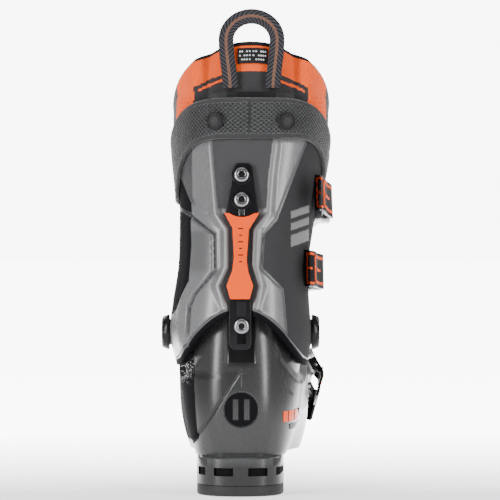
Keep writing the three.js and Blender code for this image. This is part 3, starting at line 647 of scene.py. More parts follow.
# ---------------------------------------------------------------- the cuff's drawn lines, [height, x]
RIB = {-1: [[281, -23.6], [254, -21.3], [222, -18.5], [210, -10.0], [180, -9.8], [165.6, -16.8],
            [147.5, -10.4], [135, -10]],
       1: [[281, 27.3], [254, 23.9], [223, 21.7], [210, 11.4], [181, 10.6], [165.6, 15.4], [148.6, 11.2],
           [135, 11]]}
PANEL = {-1: [[300, -90], [232, -60], [221, -38.3], [206.3, -20.2], [176.9, -19.6], [158.8, -34.9],
              [149.7, -38.8], [121.5, -41.1], [100, -42]],
         1: [[300, 60], [267.3, 47.1], [217.6, 27.9], [206.3, 18.3], [179.1, 16.6], [162.2, 33],
             [129.4, 35.8], [100, 37.5]]}
INSIDE_PANEL = [[330, -50], [256, -49.6], [231.2, -37.6], [197.2, -36.4], [169, -38.4], [146.3, -50.1],
                [131, -62], [90, -80]]
STRIPE = [[300, -37.5], [267, -37.2], [236, -36.8], [224, -30], [200, -30]]
HIGH_LINE = [[290, -48], [260, -46], [239, -42], [224, -27.5], [222, -24]]
INSERT = {-1: [[222.7, -12.5], [210.8, -6], [188.2, -4.9], [178, -6], [165.6, -10.6], [155.2, -7.7]],
          1: [[222.7, 15.2], [209.7, 7], [185.9, 5.3], [176.9, 6.4], [165.6, 10.4], [155.2, 7.5]]}
PLATE = {-1: [[262.3, -2.5], [259.4, -4.9], [224.4, -11.7], [210.8, -7.2], [188.2, -6.1], [178, -7.2],
              [165.6, -11.8], [155.4, -8.9], [121, -8.8], [117, -7.2], [115.5, -4.8]],
         1: [[262.3, 6.5], [259.4, 9.8], [224.4, 14.9], [209.7, 8.2], [185.9, 6.5], [176.9, 7.6],
             [165.6, 11.6], [155.4, 8.7], [121, 8.9], [117, 7.6], [115.5, 5.6]]}
BOLT_X = 1.2
LOWER_BOLT_Z = 134.0
UPPER_BOLTS_Z = (233.0, 252.9)


def behind_at(x, z, offset=0.0):
    """Point of the leg surface seen from behind at x and height z."""
    _, _, outer, inner, _ = table_at(LEG, z)
    half = (outer - inner) / 2 + offset
    share = np.clip((x - (outer + inner) / 2) / half, -0.999, 0.999)
    u = np.arcsin(signed_power(share, 1 / LEG_ROUND)) / (2 * np.pi)
    return leg(u, z, offset)


def bolt_seat(height, offset=0.0):
    """Point behind the leg, on the line of the spine's bolts."""
    return behind_at(np.array(BOLT_X), np.array(height), offset)


def slab(name, top, bottom, finish, **more):
    """A closed piece between two equal grids of points."""
    rows, columns = top.shape[:2]
    n = rows * columns
    over = grid_faces(rows, columns, close_columns=False)
    faces = [f[::-1] for f in over] + [tuple(i + n for i in f) for f in over]
    rim = [(0, c) for c in range(columns)] + [(r, columns - 1) for r in range(1, rows)]
    rim += [(rows - 1, c) for c in range(columns - 2, -1, -1)] + [(r, 0) for r in range(rows - 2, 0, -1)]
    ids = [r * columns + c for r, c in rim]
    for a, b in zip(ids, ids[1:] + ids[:1]):
        faces.append((a, b, b + n, a + n))
    for key in ("uv", "paint"):
        if more.get(key) is not None:
            flat = np.asarray(more[key], float).reshape(n, -1)
            more[key] = np.vstack([flat, flat])
    obj = piece(name, np.vstack([top.reshape(-1, 3), bottom.reshape(-1, 3)]), faces, finish, **more)
    turn_outwards(obj)
    return obj


def wrapped_plate(name, sides, z0, z1, low, high, finish, rows=120, columns=40, edge=0.7, trim=0.0, **more):
    """A plate laid round the back of the leg between two drawn lines, with rounded edges."""
    z = np.linspace(z0, z1, rows)[:, None] + np.zeros((1, columns))
    left, right = line_x(sides[-1], z) + trim, line_x(sides[1], z) - trim
    t = (1 - np.cos(np.linspace(0, np.pi, columns))) / 2
    x = lerp(left, right, t)
    near = np.minimum(np.minimum(x - left, right - x), np.minimum(z - z0, z1 - z))
    drop = edge * edge_drop(near, edge)
    return slab(name, behind_at(x, z, high - drop), behind_at(x, z, low), finish, **more)


def cylinder(name, start, end, radius, finish, sides=48):
    """A closed rod in millimetres, with the rims rounded."""
    start, end = Vector(start), Vector(end)
    rim = min(0.4, radius * 0.2)
    length = (end - start).length
    profile = [(radius - rim, 0), (radius - rim * 0.3, rim * 0.3), (radius, rim), (radius, length - rim),
               (radius - rim * 0.3, length - rim * 0.3), (radius - rim, length)]
    return turned_piece(name, profile, start, end - start, finish, sides)


def turned_piece(name, profile, start, axis, finish, sides=64):
    """A turned piece: profile rows of (radius, height) along an axis from a starting point."""
    start, axis = Vector(start), Vector(axis).normalized()
    side = axis.orthogonal().normalized()
    other = axis.cross(side)
    rings = []
    for r, h in profile:
        rings.append(np.array([list(start + axis * h + (side * math.cos(a) + other * math.sin(a)) * r)
                               for a in np.linspace(0, 2 * np.pi, sides, endpoint=False)]))
    return ring_mesh(name, rings, finish)


def cut(obj, cutters):
    """Cuts each cutter out of obj and removes it."""
    for cutter in cutters:
        step = obj.modifiers.new("cut", "BOOLEAN")
        step.operation = "DIFFERENCE"
        step.solver = "EXACT"
        step.material_mode = "TRANSFER"
        step.object = cutter
        apply_modifiers(obj)
        bpy.data.objects.remove(cutter)
    obj.data.set_sharp_from_angle(angle=math.radians(35))
    return obj


def hex_bolt(name, at, out, radius, height, finishes, socket=2.5):
    """A domed bolt head with a hexagon socket, from a seat point outwards."""
    inner, deep = radius * 0.46, height * 0.62
    profile = [(radius * 0.55, -0.6), (radius, 0), (radius, height * 0.45), (radius * 0.93, height * 0.75),
               (radius * 0.74, height), (radius * 0.5, height), (inner, height * 0.94), (inner, height * 0.2)]
    head = turned_piece(name, profile, at, out, finishes["steel"])
    start = Vector(at) + Vector(out).normalized() * (height * 0.2 + 0.05)
    hexagon = turned_piece(name + "_socket", [(inner * 0.999, 0), (inner * 0.999, deep), (socket, deep),
                                              (socket, 0.3)], start, out, finishes["dark_steel"], sides=6)
    floor = turned_piece(name + "_floor", [(socket * 0.98, 0.31), (socket * 0.98, 0.5)], start, out,
                         finishes["socket"], sides=6)
    return join([head, hexagon, floor], name)


def cuff_grid(around, upwards):
    turn = np.arange(around) / around
    u = turn - 0.4 * np.sin(2 * np.pi * turn) / (2 * np.pi)
    t = np.linspace(0, 1, upwards)[:, None]
    z = lerp(cuff_bottom(u)[None, :], cuff_top(u)[None, :], t)
    return np.broadcast_to(u[None, :], z.shape), z


def cuff_relief(u, z):
    """Height over the cuff's plain skin, and its paint, at the points of its outside."""
    look = bpy.context.scene.boot_look
    p = leg(u, z)
    x = p[..., 0]
    rear = np.cos(2 * np.pi * u) > 0
    inside = np.minimum(line_gap(RIB[-1], x, z), -line_gap(RIB[1], x, z))
    gap_l, gap_r = line_gap(PANEL[-1], x, z), line_gap(PANEL[1], x, z)
    gap_inside = line_gap(INSIDE_PANEL, x, z)
    under_strap = ease((strap_bottom(u) + 1 - z) / 5)
    low = z - cuff_bottom(u)
    rib = np.where(inside > 0, 2.6 * (1 - ease(inside / 4.2)), 1.1 + 1.5 * (1 - ease(-inside / 6.5)))
    rib = np.where(inside > 4.2, 0.0, rib)
    wing_l, panel_r = ease((-gap_l - 0.4) / 1.8), ease((gap_r - 0.2) / 1.4)
    height = rib + 1.3 * wing_l * ease((z - 112) / 8)
    height -= 1.3 * bump_at(gap_l, 1.1) + 0.9 * bump_at(gap_r, 1.0)
    height -= 0.7 * panel_r + 0.8 * ease(-gap_inside / 1.6)
    height += 0.5 * bump_at(line_gap(HIGH_LINE, x, z), 0.8) * (z > 223)
    height += 0.5 * (bump_at(low - 5.2, 1.0) - bump_at(low - 2.6, 1.0))
    height *= ease((0.185 - np.abs(u - np.round(u))) / 0.05) * under_strap
    height = np.where(rear, height, 0)

    light, dark = paint_of(look.cuff_light, 0.42), paint_of(look.cuff_dark, 0.8)
    side, black = tint(look.cuff_dark, 0.7, 0.75), paint_of(look.black, 0.7)
    # Painted shade: the bands on the ribs' outer slopes, between each rib and its panel line, are the wing
    # colour made darker.
    shaded_band_l = ease(gap_l / 1.5) * ease((208 - z) / 6) * ease((z - 168) / 9)
    shaded_band_r = ease(-gap_r / 1.5) * ease((212 - z) / 6) * ease((z - 172) / 9)
    layers = [
        (tint(look.cuff_light, 0.62, 0.5), shaded_band_l * (inside < 0)),
        (tint(look.cuff_light, 0.7, 0.5), shaded_band_r * (inside < 0)),
        (dark, ease((inside - 0.8) / 1.2) * ease((z - 222) / 6)),
        # Painted shade: the ribs' inner slopes are the wing colour made darker, and the bottom of the recess
        # beside the spine plate is painted black.
        (tint(look.cuff_light, 0.45, 0.5), ease((inside - 0.7) / 0.8) * ease((224 - z) / 4)),
        (black, ease((inside - 3.6) / 0.6) * ease((224 - z) / 3)),
        (side, np.where(rear, panel_r, 1) * (x > 10)),
        (paint_of(look.cuff_dark, 0.6), ease(-line_gap(STRIPE, x, z)) * ease((z - 226) / 8)),
        (black, np.where(rear, ease(-gap_inside / 0.8), 1) * (x < 10)),
        # Painted shadow: a dark line along the left panel line, where the raised wing steps down to the band.
        (paint_of(look.black, 0.5), 0.9 * bump_at(gap_l + 0.2, 0.9) * rear * ease((z - 124) / 6)),
        (black, 0.6 * bump_at(gap_r, 0.8) * rear),
        # Painted highlight: a pale, glossier line along each rib's crest.
        (tint(look.cuff_light, 1.5, 0.4), 0.7 * bump_at(inside + 0.3, 0.7) * rear * (z < 285)),
        (black, ease((6.4 - low) / 0.8)),
        # Painted highlight: a pale line on the ridge near the cuff's lower edge.
        (paint_of(look.cuff_light, 0.4), 0.8 * bump_at(low - 4.6, 0.6))]
    # Painted shadows: soft dark patches beside the two cuff buckles' levers.
    for lever_shadow_z in (180, 240):
        layers.append((black, 0.75 * bump_at(x - 51, 7) * bump_at(z - lever_shadow_z, 15) * rear))
    mark = (x > 40) & (x < 55) & rear & (panel_r > 0.9)
    for low_z, tall in ((196, 9), (209, 5.5), (218.5, 5.5)):
        slant = z - (x - 40) * 0.35
        layers.append((paint_of([0.2] * 3, 0.5), 0.75 * (mark & (slant > low_z) & (slant < low_z + tall))))
    return height, layered(np.zeros(u.shape + (4,)) + light, layers)


class BOOT_OT_cuff(bpy.types.Operator):
    """Builds the cuff, with its raised wings, ribs and recess for the spine"""
    bl_idname = "boot.cuff"
    bl_label = "Build Cuff"

    def execute(self, context):
        look = context.scene.boot_look
        finishes = need_finishes()
        u, z = cuff_grid(look.around, look.upwards)
        height, paint = cuff_relief(u, z)
        rows = [leg(u[i], z[i], height[i]) for i in range(len(z))]
        top, bottom = z[-1], z[0]
        dark = np.zeros(paint[0].shape) + paint_of(look.black, 0.7)
        rims = [leg(u[0], top + 0.25, height[-1] - 0.7), leg(u[0], top + 0.25, -CUFF_WALL + 0.7)]
        inner = [leg(u[0], lerp(top, bottom, t), -CUFF_WALL) for t in np.linspace(0, 1, 26)]
        foot = [leg(u[0], bottom - 0.1, -CUFF_WALL + 0.7), leg(u[0], bottom - 0.1, height[0] - 0.7)]
        extra = rims + inner + foot
        paint = np.concatenate([paint, np.stack([dark] * len(extra))])
        cuff = ring_mesh("cuff", rows + extra, [finishes["cuff"], finishes["matt_side"]], close_rows=True,
                         paint=paint, tags=matt_faces(len(paint), paint))
        pins = [cylinder("cutter", (x, *PIVOT), (x + 40, *PIVOT), 10.7, finishes["black"]) for x in (-80, 40)]
        slit = frame_box("cutter", (-9, 60, 90), (-7.4, 200, 330), finishes["black"])
        cut(cuff, pins + [slit])
        settle(cuff, "cuff", "cuff")
        return {"FINISHED"}


def frame_box(name, low, high, finish):
    (x0, y0, z0), (x1, y1, z1) = low, high
    points = [(x0, y0, z0), (x1, y0, z0), (x1, y1, z0), (x0, y1, z0),
              (x0, y0, z1), (x1, y0, z1), (x1, y1, z1), (x0, y1, z1)]
    faces = [(0, 3, 2, 1), (4, 5, 6, 7), (0, 1, 5, 4), (1, 2, 6, 5), (2, 3, 7, 6), (3, 0, 4, 7)]
    return piece(name, points, faces, finish)


def finish_of(node, finish):
    """Gives a frame solid that is shown as it is a procedural finish."""
    obj = frame["nodes"][node]
    obj.data.materials.clear()
    obj.data.materials.append(finish)


class BOOT_OT_spine(bpy.types.Operator):
    """Builds the spine plate, its orange insert and the three bolts"""
    bl_idname = "boot.spine"
    bl_label = "Build Spine"

    def execute(self, context):
        finishes = need_finishes()
        plate = wrapped_plate("spine_plate", PLATE, 115.5, 262.3, 0.4, 3.2, finishes["gloss_black"], rows=200)
        slot = frame_box("cutter", (-2.3, -70, 120.0), (4.7, 0, 137.5), finishes["black"])
        cut(plate, [slot])
        channel = wrapped_plate("spine_channel",
                                {-1: [[156, -2.2], [140, -2.2]], 1: [[156, 4.4], [140, 4.4]]},
                                141.5, 153.5, 3.0, 3.7, finishes["black"], rows=20, columns=14, edge=0.4)
        neck = wrapped_plate("spine_neck", {-1: [[250, -1.2], [222, -1.2]], 1: [[250, 3.6], [222, 3.6]]},
                             220.5, 226.5, 3.0, 3.8, finishes["dark_steel"], rows=20, columns=14, edge=0.4)
        profile = [(6.4, -0.4), (7.9, -0.4), (7.9, 0.5), (7.5, 0.8), (6.8, 0.8), (6.4, 0.5)]
        rings = []
        for i, height in enumerate(UPPER_BOLTS_Z):
            rings.append(turned_piece(f"bolt_ring_{i + 1}", profile, bolt_seat(height, 3.3),
                                      self.outward(height), finishes["gloss_black"]))
        body = join([plate, channel, neck] + rings, "spine_plate")
        settle(body, "cuff", "spine_plate")
        insert = wrapped_plate("spine_insert", INSERT, 155.2, 222.7, 3.8, 6.0, finishes["orange"], rows=110,
                               edge=0.5)
        notch = cylinder("cutter", (1.4, -60, 236.5), (1.4, -10, 236.5), 17.0, finishes["orange"], sides=96)
        cut(insert, [notch])
        ticks = []
        for i in range(6):
            long = 1.9 if i % 2 else 1.2
            z0 = 184 + 5.2 * i
            ticks.append(wrapped_plate("tick", {-1: [[230, 0.4 - long], [150, 0.4 - long]],
                                                1: [[230, 0.4 + long], [150, 0.4 + long]]},
                                       z0, z0 + 0.9, 5.8, 6.08, finishes["black"], rows=4, columns=8,
                                       edge=0.05))
        marked = join([insert] + ticks, "spine_insert")
        settle(marked, "cuff", "spine_insert")
        for i, height in enumerate(UPPER_BOLTS_Z):
            name = f"spine_bolt_upper_{i + 1}"
            bolt = hex_bolt(name, bolt_seat(height, 3.7), self.outward(height), 6.2, 2.8, finishes)
            settle(bolt, "cuff", name)
        seat = bolt_seat(LOWER_BOLT_Z, 4.6)
        bolt = hex_bolt("spine_bolt_lower", seat, (0, -1, 0), 6.0, 2.6, finishes)
        shank = cylinder("shank", (BOLT_X, float(seat[1]) - 0.2, LOWER_BOLT_Z), (BOLT_X, -30.5, LOWER_BOLT_Z),
                         2.9, finishes["steel"], sides=24)
        bolt = join([bolt, shank], "spine_bolt_lower")
        settle(bolt, "shell", "spine_bolt_lower")
        return {"FINISHED"}

    def outward(self, height):
        a, b = bolt_seat(height - 1.0), bolt_seat(height + 1.0)
        return (0, -(b[2] - a[2]), b[1] - a[1])


class BOOT_OT_cant_dials(bpy.types.Operator):
    """Builds the two cant dials at the pivots"""
    bl_idname = "boot.cant_dials"
    bl_label = "Build Cant Dials"

    def execute(self, context):
        finishes = need_finishes()
        for side, sign in (("outer", 1), ("inner", -1)):
            skin = abs(float(leg_point(0.25 if sign > 0 else 0.75, PIVOT[1])[0]))
            face = skin + 0.8
            start_x = sign * (skin - 3.8)
            h = face + 2.6 - (skin - 3.8)
            profile = [(6.5, 0), (10.4, 0), (10.4, h - 3.0), (14.0, h - 3.0), (14.2, h - 2.2),
                       (13.9, h - 0.9), (13.1, h + 1.2), (11.8, h + 2.8), (11.0, h + 3.2), (10.2, h + 2.6),
                       (9.4, h + 2.6),
                       (8.9, h + 3.0), (8.3, h + 3.0), (8.1, h - 0.4), (6.5, h - 0.4)]
            rings = []
            angle = np.linspace(0, 2 * np.pi, 96, endpoint=False)
            for r, at in profile:
                rings.append(np.stack([np.full(96, start_x + sign * at), PIVOT[0] + r * np.cos(angle),
                                       PIVOT[1] + r * np.sin(angle)], -1))
            dial = ring_mesh(f"cant_dial_{side}", rings, finishes["gloss_black"], close_rows=True)
            notches = [self.notch(sign, face + 4.9, k * math.tau / 12, finishes) for k in range(12)]
            dial = join([dial] + notches, f"cant_dial_{side}")
            settle(dial, f"cant_{side}", f"cant_dial_{side}")
            tail = skin - face - 12.8
            profile = [(3.0, tail), (5.9, tail), (5.9, 0), (7.6, 0.1), (7.8, 0.8), (7.2, 1.4), (5.6, 1.7),
                       (3.6, 1.75), (3.1, 1.3), (3.0, 0.1)]
            screw = turned_piece(f"pivot_screw_{side}", profile, (sign * (face + 3.0), *PIVOT), (sign, 0, 0),
                                 finishes["steel"])
            settle(screw, "shell", f"pivot_screw_{side}")
        return {"FINISHED"}

    def notch(self, sign, x, angle, finishes):
        y, z = PIVOT[0] + 12.2 * math.cos(angle), PIVOT[1] + 12.2 * math.sin(angle)
        return cylinder("notch", (sign * (x - 0.6), y, z), (sign * (x + 0.3), y, z), 0.7, finishes["grey"],
                        sides=12)


# ---------------------------------------------------------------- lower shell
SEAM = [[98, 0.8], [44.7, -34.5], [36, -44]]
SHELL_LINE = [[118, 26], [111.3, 30.6], [85.5, 35.3], [77.6, 42.3], [68.2, 43.1], [60, 43.5], [58, 60]]
SHELL_HIGHLIGHT_LINE = [[136, 21], [112, 30], [108, 31]]
BLACK_SIDE = [[135, -39], [105, -35.2], [92, -34.8], [60, -33], [44, -31.5], [34, -40]]
BADGE = (0.8, 68.2)
SHELL_SLOTS = ((-33, -27.5), (-20.4, -5.5), (6.3, 21.2), (28.6, 35.3))


def sole_ring(u, inset, z):
    p = ring_at(SOLE_RING, u)
    centre = np.array([0, 100.0, 0])
    out = p - centre
    out /= np.linalg.norm(out, axis=-1, keepdims=True)
    p = p - out * np.asarray(inset)[..., None]
    p[..., 2] = z
    return p


def sole_top(y):
    return lerp(30.0, 19.0, ease((y - 60) / 120))


def shell_relief(p):
    """Height over the lower shell's plain skin, and its paint."""
    look = bpy.context.scene.boot_look
    x, y, z = p[..., 0], p[..., 1], p[..., 2]
    rear = ease((30 - y) / 12)
    grey = look.shell_grey
    light, black = paint_of(grey, 0.42), paint_of(look.black, 0.7)
    above = -line_gap(SEAM, x, z)
    seam = bump_at(above, 0.7) * (z < 98.5) * (z > 30) * (x < 1) * rear
    badge_x, badge_z, bolt_gap = x - BADGE[0], z - BADGE[1], np.abs(x - BOLT_X)
    centre = bump_at(badge_x, 0.5) * ease((z - 82) / 3) * ease((102 - z) / 3) * rear
    right = line_gap(SHELL_LINE, x, z)
    step = ease(right / 1.6) * ease((z - 60) / 3)
    recess = ease((11.5 - bolt_gap) / 1.6) * ease((z - 101) / 5) * rear
    recess_edge = bump_at(bolt_gap - 12.6, 1.2) * ease((z - 103) / 4) * rear
    badge = np.where(rear > 0.5, 14 - np.hypot(badge_x, badge_z), -9.0)
    height = -0.7 * seam - 0.3 * centre - 1.1 * step * rear - 1.0 * recess + 0.7 * recess_edge
    height -= 0.6 * ease(badge / 0.6)
    height += 0.9 * ease(above / 2.2) * ease((96 - z) / 5) * ease((z - 34) / 8) * (x < 1) * rear
    painted_highlight = bump_at(line_gap(SHELL_HIGHLIGHT_LINE, x, z), 1.7) * ease((z - 106) / 6) * rear
    side = np.where(y < 40, ease(-line_gap(BLACK_SIDE, x, z) / 1.2), 1) * (x < 0) * ease((z - 31) / 3)
    dots = np.sin(x * 1.9 + z * 1.1) * np.sin(z * 2.3 - x * 0.6) * np.sin(y * 1.3)
    seed = np.sin(x * 2.7) * np.sin(z * 2.7)
    bars = (np.abs(badge_z) < 8.2) & (np.abs(np.abs(badge_x) - 4.4) < 2.1)
    low_line = bump_at(x + 45.5 - (z - 45) * 0.28, 1.1) * ease((z - 36) / 3) * ease((54 - z) / 4)
    layers = [
        (tint(grey, 0.62, 0.5), ease(above / 1.4) * (z < 98) * (x < 1) * rear),
        (tint(grey, 0.5, 0.65), step),
        # Painted shade: the recess under the lower bolt is painted darker.
        (tint(grey, 0.30, 0.7), recess),
        # Painted highlight: the recess's raised rim is painted lighter and glossier.
        (tint(grey, 1.9, 0.35), 0.7 * recess_edge),
        # Painted highlight: a pale, glossy streak on the outer rear of the shell.
        (tint(grey, 2.6, 0.35), 0.8 * painted_highlight),
        (black, side),
        (paint_of([0.16] * 3, 0.5), 0.7 * side * (dots > 0.55) * ease((z - 84) / 8) * ease((y + 20) / 12)),
        (tint(grey, 1.2, 0.5), 0.5 * step * (seed > 0.6) * (y < 60)),
        (black, 0.8 * seam * rear + 0.4 * centre),
        (black, 0.8 * bump_at(right, 0.8) * (z > 60) * rear),
        (black, ease(badge / 0.5)),
        (light, 0.95 * (badge > 3) * bars),
        # Painted highlight: a pale line along the top edge of the heel ledge.
        (tint(grey, 2.0, 0.35), 0.9 * bump_at(z - sole_top(y) - 1.4, 1.1) * (y < 90)),
        (paint_of([0.6] * 3, 0.4), 0.8 * (x < 0) * rear * low_line)]
    return height, layered(np.zeros(x.shape + (4,)) + light, layers)


class BOOT_OT_lower_shell(bpy.types.Operator):
    """Builds the lower shell, with its seams, badge, blocks and heel slots"""
    bl_idname = "boot.lower_shell"
    bl_label = "Build Lower Shell"

    def execute(self, context):
        look = context.scene.boot_look
        finishes = need_finishes()
        around = look.around
        turn = np.arange(around) / around
        u = turn - 0.45 * np.sin(2 * np.pi * turn) / (2 * np.pi)
        black = paint_of(look.black, 0.7)
        rings, paints = [], []
        base = tint(look.shell_grey, 0.55, 0.5)
        for z in (8.4, 8.9, 14.0, 15.8, 16.5, 19.0, 21.5, 22.2):
            p = sole_ring(u, 0.0, z)
            slotted = np.zeros(around)
            for a, b in SHELL_SLOTS:
                slotted = np.maximum(slotted, (p[:, 0] > a) & (p[:, 0] < b) & (p[:, 1] < 12))
            slotted = slotted * (16.2 < z < 21.8)
            rings.append(sole_ring(u, 2.4 * slotted, np.minimum(z, sole_top(p[:, 1]) - 1.2)))
            paint = np.zeros((around, 4)) + base
            paint[:, :3] *= 0.9 if z < 16 else 1.0
            # Painted shade: the four heel slots are painted black.
            paints.append(blend_paint(paint, black, slotted))
        # Painted highlight: the two rings on top of the heel ledge are painted lighter and glossier.
        for inset, drop in ((0.0, 0.9), (0.8, 0.0)):
            p = sole_ring(u, inset, 0)
            p[:, 2] = sole_top(p[:, 1]) - drop
            rings.append(p)
            paints.append(np.zeros((around, 4)) + tint(look.shell_grey, 1.6, 0.4))
        v = np.linspace(0, 1, look.upwards)[:, None]
        plain = shell(u, v)
        height, paint = shell_relief(plain)
        free = ease((cuff_bottom(against_cuff(plain, 0)[1]) - 9 - plain[..., 2]) / 5)
        behind_recess = (np.abs(plain[..., 0] - BOLT_X) < 15) & (plain[..., 1] < 20)
        height = np.where(behind_recess, np.minimum(height, 0) * ease((0.97 - v) / 0.03), height * free)
        height *= ease(v / 0.04)
        skin = shell(u, v, -height)
        rings += list(skin)
        paints += list(paint)
        inner = [shell(u, t, SHELL_WALL) for t in np.linspace(1, 0.083, 22)]
        inner[0] = inner[0] + (skin[-1] - inner[0]) * 0.12
        last = shell(u, 0.06, SHELL_WALL)
        last[:, 2] = floor_z(last[:, 1])
        inner.append(last)
        rings += inner
        paints += [np.zeros((around, 4)) + black] * len(inner)
        tags = np.concatenate([matt_faces(len(rings) - 1, paints), np.zeros(2 * around, int)])
        body = ring_mesh("lower_shell", rings, [finishes["shell"], finishes["matt_side"]],
                         paint=np.array(paints), tags=tags, smooth_angle=40)
        holes = [((x, *PIVOT), (x + 50, *PIVOT), 6.5, 48) for x in (-80, 30)]
        holes.append(((BOLT_X, -60, LOWER_BOLT_Z), (BOLT_X, 0, LOWER_BOLT_Z), 3.2, 48))
        screw_holes = []
        for x, y in SOLE_SCREWS:
            screw_holes += [((x, y, -1), (x, y, 4.05), 4.4, 24), ((x, y, 3), (x, y, 16.4), 2.6, 20)]
        cut(body, [cylinder("cutter", start, end, radius, finishes["black"], sides)
                   for start, end, radius, sides in screw_holes + holes])
        parts = [body] + self.side_blocks(finishes)
        whole = join(parts, "lower_shell")
        settle(whole, "shell", "lower_shell")
        finish_of("boot_board", finishes["board"])
        finish_of("footbed", finishes["foam"])
        finish_of("instep_gasket", finishes["sole"])
        return {"FINISHED"}

    def side_blocks(self, finishes):
        """Plain printed blocks low on the outer side."""
        blocks = []
        for x0, x1, z0, z1, finish in ((34, 37.6, 57.5, 66, "orange"), (38.4, 42.4, 57.5, 66, "orange"),
                                       (43.2, 46.2, 57.5, 66, "orange"), (39, 47, 51, 55.6, "black"),
                                       (47.4, 50, 57.5, 66, "gloss_black")):
            x = np.linspace(x0, x1, 8)[None, :] + np.zeros((10, 1))
            z = np.linspace(z0, z1, 10)[:, None] + 0 * x
            u, v = self.find(x, z)
            blocks.append(slab("block", shell(u, v, -0.35), shell(u, v, 0.6), finishes[finish]))
        return blocks

    def find(self, x, z):
        """The place on the rear of the shell seen at x and z."""
        us, vs = np.meshgrid(np.linspace(0.0, 0.24, 220), np.linspace(0, 0.6, 220))
        p = shell(us, vs)
        u, v = np.empty(x.shape), np.empty(x.shape)
        for i in np.ndindex(x.shape):
            away = (p[..., 0] - x[i]) ** 2 + (p[..., 2] - z[i]) ** 2
            away[p[..., 1] > 60] = 1e9
            k = np.unravel_index(np.argmin(away), away.shape)
            u[i], v[i] = us[k], vs[k]
        return u, v


SOLE_SCREWS = [(side * 20.0, y) for y in (-12, 26, 160, 222) for side in (-1, 1)]


def scattered(name, places, shape, finish):
    """Copies of a shape at places [(point, out)], by a Geometry Nodes tree, as one plain mesh."""
    mesh = bpy.data.meshes.new(name)
    mesh.from_pydata([tuple(c * MM for c in p) for p, _ in places], [], [])
    normal = mesh.attributes.new("out", "FLOAT_VECTOR", "POINT")
    normal.data.foreach_set("vector", np.array([list(n) for _, n in places], float).ravel())
    obj = new_object(name, mesh)
    tree = bpy.data.node_groups.new(name + "_places", "GeometryNodeTree")

    def socket(label, kind, way="INPUT"):
        return tree.interface.new_socket(label, in_out=way, socket_type="NodeSocket" + kind)

    socket("Geometry", "Geometry")
    socket("Geometry", "Geometry", "OUTPUT")
    size, wobble = socket("Size", "Float"), socket("Size Change", "Float")
    shaped, covering = socket("Shape", "Object"), socket("Finish", "Material")
    given = add_node(tree, "NodeGroupInput").outputs
    out = add_node(tree, "NodeGroupOutput")
    info = add_node(tree, "GeometryNodeObjectInfo", {"Object": given["Shape"]})
    facing = add_node(tree, "GeometryNodeInputNamedAttribute", {"Name": "out"}, data_type="FLOAT_VECTOR")
    turn = add_node(tree, "FunctionNodeAlignRotationToVector", {"Vector": facing.outputs[0]}, axis="Z")
    vary = add_node(tree, "FunctionNodeRandomValue", {2: 1.0, 3: 1.0, "Seed": 7}, data_type="FLOAT")
    tree.links.new(given["Size Change"], vary.inputs[3])
    scale = maths(tree, "MULTIPLY", given["Size"], vary.outputs[1])
    points = add_node(tree, "GeometryNodeInstanceOnPoints", {
        "Points": given["Geometry"], "Instance": info.outputs["Geometry"],
        "Rotation": turn.outputs[0], "Scale": scale})
    real = add_node(tree, "GeometryNodeRealizeInstances", {"Geometry": points.outputs[0]})
    painted = add_node(tree, "GeometryNodeSetMaterial",
                       {"Geometry": real.outputs[0], "Material": given["Finish"]})
    tree.links.new(painted.outputs[0], out.inputs[0])
    step = obj.modifiers.new("places", "NODES")
    step.node_group = tree
    step[size.identifier], step[wobble.identifier] = 1.0, 1.0
    step[shaped.identifier], step[covering.identifier] = shape, finish
    apply_modifiers(obj)
    bpy.data.objects.remove(shape)
    if not len(obj.data.polygons):
        raise RuntimeError(f"{name}: no copies were made")
    obj.data.shade_smooth()
    obj.data.set_sharp_from_angle(angle=math.radians(35))
    turn_outwards(obj)
    return obj


class BOOT_OT_soles(bpy.types.Operator):
    """Builds the heel and toe sole plates with their treads and screws"""
    bl_idname = "boot.soles"
    bl_label = "Build Sole Plates"

    def execute(self, context):
        finishes = need_finishes()
        ring = ring_at(SOLE_RING, np.linspace(0, 1, 200))
        for end, (y0, y1) in {"heel": (-38, 42), "toe": (138, 268)}.items():
            plate = soften(copy_of(f"{end}_sole_plate", f"{end}_sole_plate", finishes["sole"]), 0.8)
            places = []
            for row, y in enumerate(np.arange(y0 + 7, y1 - 4, 6.5)):
                for x in np.arange(-27, 28, 9.0):
                    at = (x + 4.5 * (row % 2), y)
                    near = np.min(np.hypot(ring[:, 0] - at[0], ring[:, 1] - at[1]))
                    clear = min(math.hypot(at[0] - sx, at[1] - sy) for sx, sy in SOLE_SCREWS)
                    wide = np.max(ring[np.abs(ring[:, 1] - at[1]) < 6, 0])
                    if near > 5 and clear > 8 and abs(at[0]) < wide - 4:
                        places.append(((at[0], at[1], 0.02), (0, 0, 1)))
            stud = frame_box("stud", (-3.2, -1.9, 0.0), (3.2, 1.9, 0.9), finishes["sole"])
            treads = scattered(f"{end}_tread", places, stud, finishes["sole"])
            whole = join([plate, treads], f"{end}_sole_plate")
            settle(whole, "shell", f"{end}_sole_plate")
            for n in range(1, 5):
                finish_of(f"{end}_plate_screw_{n}", finishes["steel"])
        return {"FINISHED"}


# ---------------------------------------------------------------- stage
SENSOR = 36
BOOT_BACK_Y = 0.04
FRAME_WIDTH = 0.392


def ranged(tree, value, low, high, at_low, at_high):
    inputs = {0: value, 1: low, 2: high, 3: at_low, 4: at_high}
    return add_node(tree, "ShaderNodeMapRange", inputs).outputs[0]


